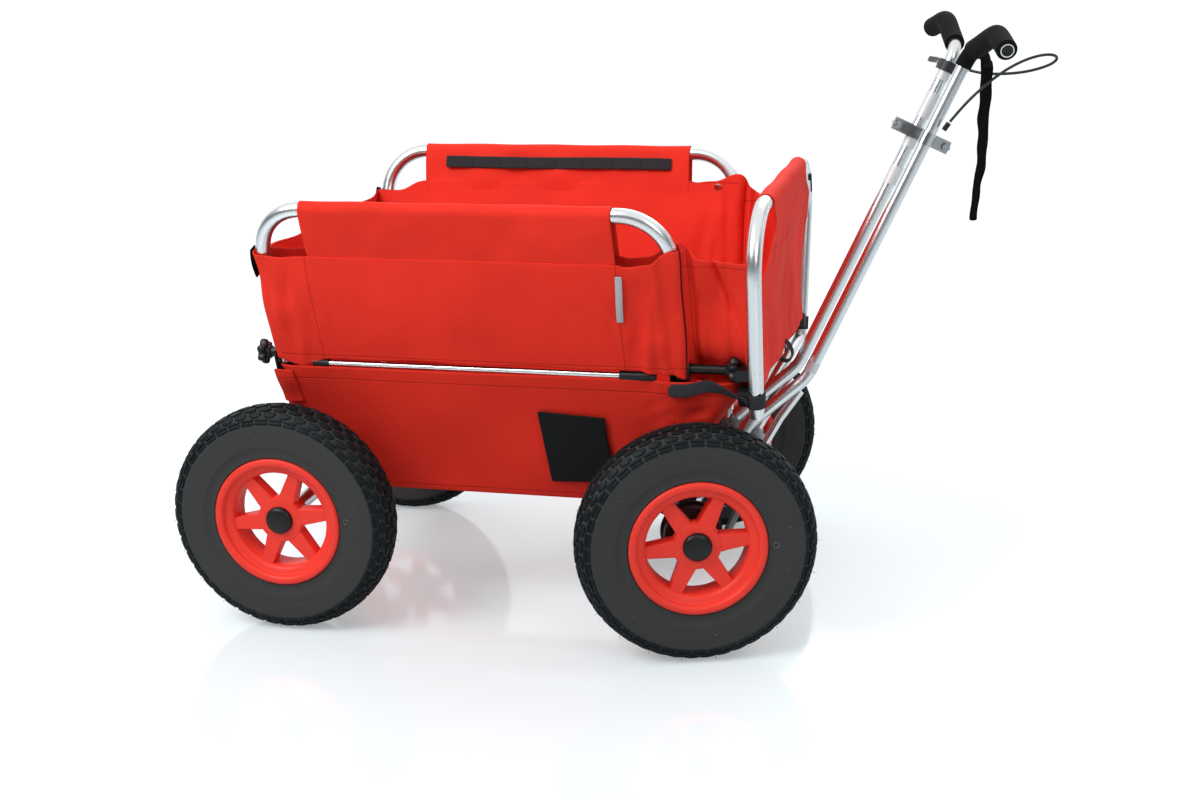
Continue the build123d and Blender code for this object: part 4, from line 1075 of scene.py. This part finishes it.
@dataclass
class Trim:
    """Webbing, tags, snaps and small fittings of the basket."""

    def strip(self, name: str, points: Sequence[tuple[float, float, float]], up: Vector, width: float, body: str,
              stands_for: Sequence[str] = (), twist: Sequence[float] = ()) -> None:
        """Flat band along points, its width along up.

        Args:
            name: The piece's name.
            points: Middle line, in millimetres.
            up: Direction of its width.
            width: Of the band.
            body: That it rides on.
            stands_for: CAD nodes it replaces.
            twist: Degrees that its width turns from up towards the outside of the cart, at each point.
        """
        line = np.array(points, float)
        run = run_of(line)
        s = np.linspace(0, run[-1], max(8, int(run[-1] / 4)))
        middle = np.stack([np.interp(s, run, line[:, i]) for i in range(3)], -1)
        for _ in range(3):
            middle[1:-1] = (middle[:-2] + middle[1:-1] * 2 + middle[2:]) / 4
        angle = np.interp(s, run, np.radians(twist))[:, None] if twist else np.zeros((len(s), 1))
        sideways = np.array((0.0, np.sign(line[0, 1]), 0.0))
        facing = np.cos(angle) * np.array(up.normalized()) + np.sin(angle) * sideways
        rows = middle[None] + np.linspace(-0.5, 0.5, 5)[:, None, None] * width * facing
        uv = np.stack(np.broadcast_arrays(s[None] * MM, np.linspace(0, width, 5)[:, None] * MM), -1)
        band = cloth(rows, uv, name, 1.8)
        settle(band, name, STRAP, body, stands_for)

    def ring(self, centre: tuple[float, float, float], axis: Vector, radius: float) -> list[tuple[float, float, float]]:
        """Points round a tube."""
        facing = axis.normalized().to_track_quat("Z", "Y").to_matrix()
        return [tuple(Vector(centre) + facing @ Vector((radius * math.cos(t), radius * math.sin(t), 0)))
                for t in np.linspace(0, 2 * math.pi, 28)]

    def build(self) -> None:
        """Makes the trim."""
        for side in Side:
            s = side.value
            path = [(FRONT_X - 18, s * (leg_y(441) + 24), 441), (FRONT_X - 4, s * (leg_y(441) + 29), 441),
                    (FRONT_X + 12, s * (leg_y(441) + 29), 441), (FRONT_X + 28, s * (leg_y(446) + 27), 446),
                    (738, s * (leg_y(453) + 28), 453), (762, s * (leg_y(449) + 31), 447),
                    (786, s * (leg_y(441) + 33), 435), (nose_x(430) - 12, s * (nose_y(430) + 14), 429)]
            self.strip(f"corner_strap_{side.word}", path, Vector((0, 0, 1)), 22, "root",
                       ["corner_straps"] if side is Side.NEAR else [], (0, 0, 0, 4, 14, 40, 58, 30))
            along = Vector((NOSE_LEAN, s * NOSE_SPLAY, 1))
            tube = self.ring((nose_x(432), s * nose_y(432), 432), along, TUBE + 2.4)
            self.strip(f"strap_loop_{side.word}", tube, along, 24, "root")
            self.rear_tab(side)
        self.tag()
        self.cross_ties()
        self.snap()
        self.zip_pull()

    def rear_tab(self, side: Side) -> None:
        """Black hook-and-loop tab and bound edge at a rear corner."""
        u, v = np.meshgrid(np.linspace(0, 1, 8), np.linspace(0, 1, 12))
        rows = leaning(side, -25.5 - 3.0 * np.sin(v * 3), 150.0 + 52.0 * v, 9.0 - 20.0 * u)
        band = cloth(rows, np.stack([u * 0.02, v * 0.05], -1), "tab", 1.8)
        settle(band, f"rear_tab_{side.word}", SLEEVE, f"side_frame_{side.word}")
        v = np.linspace(0, 1, 40)
        edge, other = (leaning(side, -23.0 + 3.5 * np.sin(v * 9) + 6 * v, 4 + 138 * (1 - v), np.full(40, out))
                       for out in (2.0, -8.0))
        uv = np.stack(np.broadcast_arrays(v[None] * 0.14, np.array([[0], [0.005], [0.01]])), -1)
        binding = cloth(np.stack([edge, (edge + other) / 2, other]), uv, "edge", 1.6)
        settle(binding, f"rear_binding_{side.word}", STRAP, f"side_frame_{side.word}")

    def tag(self) -> None:
        """Blank grey tag sewn near the front of the near side."""
        u, v = np.meshgrid(np.linspace(0, 1, 6), np.linspace(0, 1, 16))
        z = 565.0 + 80.0 * v
        x = 594.0 + 11.5 * u + 4.0 * v
        up = (z - HINGE_Z) / math.cos(LEAN)
        out = 20.5 + 1.6 * np.sin(u * 3) + 1.0 * np.sin(v * 5)
        tag = cloth(leaning(Side.NEAR, x, up, out), np.stack([u * 0.012, v * 0.08], -1), "tag", 0.8)
        settle(tag, "blank_tag", TAG, "side_frame_near")

    def cross_ties(self) -> None:
        """Black clamp and loops that tie the handle to the cross tube."""
        tube = self.ring((806, 66, 440), Vector((0.25, 1, 0.1)), TUBE + 2.6)
        self.strip("handle_tie_loop", tube, Vector((0, 1, 0)), 16, "root")
        both = self.ring((815, 40, 436), Vector((0.5, 0.8, 0.2)), TUBE + 9.0)
        self.strip("handle_tie_loop_2", both, Vector((0.2, 1, 0.3)), 10.5, "root")
        for side in Side:
            clamp = block((40, 30, 30), (0, 0, 0), 6.0)
            z = 437.0
            lean = Matrix.Rotation(math.radians(11 * -side.value), 4, "X")
            place(clamp, Matrix.Translation(at(806, side.value * (nose_y(z) - 3), z)) @ lean)
            smooth(clamp, 40)
            settle(clamp, f"cross_tube_socket_{side.word}", NYLON, "root")

    def zip_pull(self) -> None:
        """Zip slider and its tab near the far top of the front flap."""
        slider, tab = block((6, 9, 12), (0, 0, 0), 1.5), block((2.6, 7, 24), (2.2, -2, -16), 1.0)
        pull = join([slider, tab])
        smooth(pull, 40)
        place(pull, Matrix.Translation(at(nose_x(716) + 19, 205, 716)) @ Matrix.Rotation(math.radians(14), 4, "X"))
        settle(pull, "zip_pull", NYLON, "root")

    def snap(self) -> None:
        """Press stud on the far inner corner."""
        stud = lathe([(0, 3.4), (2.6, 3.2), (4.0, 2.2), (6.2, 1.9), (6.8, 0.8), (6.6, 0), (0, 0)], 32)
        smooth(stud, 40)
        face = at(656, leg_y(684) - 21, 682)
        place(stud, Matrix.Translation(face) @ Matrix.Rotation(math.radians(90) + LEAN, 4, "X"))
        settle(stud, "press_stud_far", ZINC, "side_frame_far")


# ------------------------------------------------------------------------------------------------ handle
@dataclass
class Handle:
    """Grips, films, cable and wrist strap on the pull handle."""

    grip_radius: float = 17.0
    cable: Sequence[tuple[float, float, float]] = (
        (470, 28, 908), (482, 12, 905), (500, -3, 904), (524, -16, 905), (550, -25, 908), (575, -31, 914),
        (594, -36, 922), (600, -42, 931), (590, -49, 938), (567, -56, 939), (538, -63, 933), (508, -69, 921),
        (480, -73, 904), (454, -73, 883), (431, -68, 859), (413, -60, 834))
    wrist: Sequence[tuple[float, float, float]] = (
        (472, -58, 934), (473, -58, 880), (471, -59, 810), (466, -60, 738), (458, -60, 664))

    def grips(self) -> None:
        """Foam sleeves with rounded ends and a dished end cap."""
        for side in Side:
            s = side.value
            knots = [(450.5, s * 58, 951.5), (453, s * 80, 959), (456, s * 112, 971), (459, s * 136, 980),
                     (459.5, s * 154, 983.5), (458.5, s * 172, 980), (457, s * 196, 973), (455, s * 221, 966.2)]
            grip = pipe([at(*steered(*p)) for p in knots], self.grip_radius, sides=14)
            pick(grip)
            modify(grip, "BEVEL", width=7.0 * MM, segments=5, limit_method="ANGLE", angle_limit=math.radians(60))
            smooth(grip, 45)
            settle(grip, f"grip_{side.word}_looks", FOAM, "handle", [f"grip_{side.word}"])
            tip, back = at(*steered(455, s * 224.5, 965.2)), at(*steered(457, s * 196, 973))
            cap = lathe([(0, 0.3), (6.5, 0.2), (7.6, 0.9), (9.0, 1.1), (9.8, 0.2), (9.8, -3), (0, -3)], 48)
            smooth(cap, 40)
            place(cap, Matrix.Translation(tip) @ (tip - back).to_track_quat("Z", "Y").to_matrix().to_4x4())
            settle(cap, f"grip_cap_{side.word}", NYLON, "handle")

    def brake_cable(self) -> None:
        """Free loop of the brake cable from the lever to its clip on the near tube."""
        points = [at(*steered(*p)) for p in self.cable]
        cable = curve("brake_cable_line", points, 12)
        round_bar(cable, 0.0025, 4)
        settle(cable, "brake_cable_line", SHEATH, "handle", ["brake_cable"])

    def wrist_strap(self) -> None:
        """Limp cloth sleeve that hangs from the near grip, its end knotted in itself."""
        line = np.array([tuple(at(*steered(*p))) for p in self.wrist])
        route = curve("route", line, 12)
        path = np.array([v.co for v in bpy.data.meshes.new_from_object(route).vertices])
        bpy.data.objects.remove(route)
        run = run_of(path)
        s = np.linspace(0, run[-1], 64)
        middle = np.stack([np.interp(s, run, path[:, i]) for i in range(3)], -1)
        t = s / run[-1]
        wide = np.interp(t, [0, 0.05, 0.35, 0.6, 0.7, 0.86, 0.93, 1.0], [9.5, 10.2, 9.6, 8.0, 7.6, 6.2, 6.6, 6.0])
        thick = 4.2 + 0.8 * np.sin(t * 21) + 0.6 * np.sin(t * 47 + 1)
        columns = 24
        turn = np.linspace(0, 2 * math.pi, columns + 1)[:-1]
        ahead = np.array([math.cos(STEER), math.sin(STEER), 0])
        across = np.array([-math.sin(STEER), math.cos(STEER), 0])
        sway = (1.3 * np.sin(t * 13) + 0.8 * np.sin(t * 31))[:, None]
        ring = (np.cos(turn)[None, :, None] * (wide + 0.5 * np.sin(t * 39))[:, None, None] * ahead
                + np.sin(turn)[None, :, None] * thick[:, None, None] * across) * MM
        rows = ((middle + sway * ahead * MM)[:, None] + ring) / MM
        rows[..., 0] -= ORIGIN_X / MM
        head, tail = (end.mean(0)[None].repeat(columns, 0)[None] for end in (rows[0], rows[-1]))
        rows = np.concatenate([head, rows, tail])
        down, round_it = np.linspace(0, 0.27, len(rows))[:, None], np.linspace(0, 0.05, columns)[None]
        uv = np.stack(np.broadcast_arrays(down, round_it), -1)
        strap = cloth(rows, uv, "wrist", 0.6, closed=True)
        settle(strap, "wrist_strap_cloth", SLEEVE, "handle", ["wrist_strap"])
        bend = ((437, -41, 922), (445, -42, 938), (452, -50, 949), (456, -66, 953), (462, -74, 950))
        wrap = pipe([at(*steered(*p)) for p in bend], 14.2, sides=10)
        modify(wrap, "BEVEL", width=3.0 * MM, segments=3, limit_method="ANGLE", angle_limit=math.radians(60))
        smooth(wrap, 45)
        settle(wrap, "wrist_strap_wrap", FOAM, "handle")
        neck = ((455, -56, 950), (466, -58, 946), (472, -58, 934), (472.5, -58, 922))
        hanger = pipe([at(*steered(*p)) for p in neck], 8.6, sides=8)
        smooth(hanger, 45)
        settle(hanger, "wrist_strap_root", FOAM, "handle")

    def along(self, share: float, s: float) -> Vector:
        """Point on the handle's straight run."""
        return Vector(steered(176 + 273 * share, s, 393 + 552 * share))

    def films(self) -> None:
        """Clear protective films round the tubes, left blank."""
        far, near, inner, outer = 40.5, -40.5, 11.25, 11.6
        spans = ((0.585, 0.64, far), (0.70, 0.735, far), (0.79, 0.865, far), (0.905, 0.95, far), (0.02, 0.05, near))
        for index, (low, high, s) in enumerate(spans):
            a, b = self.along(low, s), self.along(high, s)
            middle, axis = (a + b) / 2, (b - a)
            half = axis.length / 2
            sleeve = lathe([(inner, -half), (outer, -half), (outer, half), (inner, half), (inner, -half)], 40)
            smooth(sleeve, 40)
            place(sleeve, Matrix.Translation(at(*middle)) @ axis.to_track_quat("Z", "Y").to_matrix().to_4x4())
            settle(sleeve, f"clear_film_{index}", FILM, "handle")

    def build(self) -> None:
        """Makes the handle's pieces."""
        self.brake_cable()
        self.wrist_strap()
        self.grips()
        self.films()


# ------------------------------------------------------------------------------------------------ studio
@dataclass
class Studio:
    """Pale floor, soft light and the camera."""

    eye: tuple[float, float, float] = (1259.2, -2941.5, 1250.8)
    yaw: float = 14.68
    pitch: float = 16.67
    roll: float = -1.64
    lens: float = 52.81

    def camera(self) -> None:
        """Camera at the chosen view."""
        data = bpy.data.cameras.new("camera")
        data.lens, data.sensor_width, data.clip_end = self.lens, 36.0, 100.0
        data.dof.use_dof = False
        yaw, pitch, roll = (math.radians(a) for a in (self.yaw, self.pitch, self.roll))
        ahead = Vector((-math.sin(yaw) * math.cos(pitch), math.cos(yaw) * math.cos(pitch), -math.sin(pitch)))
        right = Vector((math.cos(yaw), math.sin(yaw), 0))
        up = right.cross(ahead)
        level = math.cos(roll) * right + math.sin(roll) * up
        tall = -math.sin(roll) * right + math.cos(roll) * up
        camera = bpy.data.objects.new("camera", data)
        camera.matrix_world = Matrix.Translation(at(*self.eye)) @ Matrix((level, tall, -ahead)).transposed().to_4x4()
        bpy.context.scene.collection.objects.link(camera)
        bpy.context.scene.camera = camera

    def floor(self) -> None:
        """Large glossy pale floor."""
        deselect()
        bpy.ops.mesh.primitive_plane_add(size=60, location=(0, 0, 0))
        floor = bpy.context.object
        floor.name = "studio_floor"
        n = Nodes("studio_floor")
        glow = n.math("MULTIPLY", n.add("LightPath").outputs["Is Camera Ray"], 0.32)
        n.set(Base_Color=(0.60, 0.665, 0.69, 1), Roughness=0.09, Specular_IOR_Level=0.6,
              Emission_Color=(0.97, 0.99, 1, 1), Emission_Strength=glow)
        floor.data.materials.append(n.material)

    def light(self, name: str, where: Sequence[float], aim: Sequence[float], size: float, power: float) -> None:
        """One soft box."""
        data = bpy.data.lights.new(name, "AREA")
        data.shape, data.size, data.energy = "SQUARE", size, power
        lamp = bpy.data.objects.new(name, data)
        lamp.location = where
        lamp.rotation_mode = "QUATERNION"
        lamp.rotation_quaternion = (Vector(aim) - Vector(where)).to_track_quat("-Z", "Y")
        bpy.context.scene.collection.objects.link(lamp)

    def surroundings(self) -> None:
        """White backdrop, bright above and behind, darker on the camera's side so that bare tubes show dark bands."""
        world = bpy.data.worlds.new("studio")
        world.use_nodes = True
        tree = world.node_tree
        tree.nodes.clear()

        def add(kind: str, *inputs: object, **settings: object) -> bpy.types.NodeSocket:
            """Adds a node with these inputs, in order, and settings, and gives its first output."""
            node = tree.nodes.new("ShaderNode" + kind)
            for key, value in settings.items():
                setattr(node, key, value)
            for socket, value in zip(node.inputs, inputs):
                if isinstance(value, bpy.types.NodeSocket):
                    tree.links.new(value, socket)
                else:
                    socket.default_value = value
            return node.outputs[0]

        split = tree.nodes.new("ShaderNodeSeparateXYZ")
        place = tree.nodes.new("ShaderNodeTexCoord")
        tree.links.new(place.outputs["Generated"], split.inputs[0])
        # Brightness by direction, then full white wherever the camera looks straight at it.
        above = add("MapRange", split.outputs[2], 0.30, 0.62, 0.0, 1.0)
        behind = add("MapRange", split.outputs[1], -0.15, 0.45, 0.0, 0.9)
        soft = add("Math", above, behind, operation="MAXIMUM")
        power = add("MapRange", soft, 0.0, 1.0, 0.16, 1.0)
        path = tree.nodes.new("ShaderNodeLightPath")
        seen = add("Math", path.outputs["Is Camera Ray"], 2.0, operation="MULTIPLY")
        shown = add("Math", seen, power, operation="MAXIMUM")
        background = add("Background", (0.98, 0.99, 1.0, 1), shown)
        out = tree.nodes.new("ShaderNodeOutputWorld")
        tree.links.new(background, out.inputs[0])
        bpy.context.scene.world = world

    def build(self) -> None:
        """Sets the scene."""
        self.camera()
        self.floor()
        self.surroundings()
        self.light("key", where=(-2.2, -2.6, 3.4), aim=(0, 0, 0.3), size=2.2, power=112)
        self.light("fill", where=(2.8, -3.0, 2.2), aim=(0, 0, 0.4), size=1.6, power=22)
        self.light("back", where=(0.6, 3.0, 2.8), aim=(0, 0, 0.5), size=2.4, power=40)
        bpy.context.scene.view_settings.view_transform = "Standard"


def main() -> None:
    """Builds the whole cart and its studio."""
    logging.basicConfig(level=logging.INFO, format="%(message)s")
    Studio().build()
    Handle().build()
    Metalwork().build()
    for side in Side:
        SideCloth(side).build()
    Tub().build()
    Ends().build()
    Trim().build()
    Wheel().build()


if __name__ == "__main__":
    main()
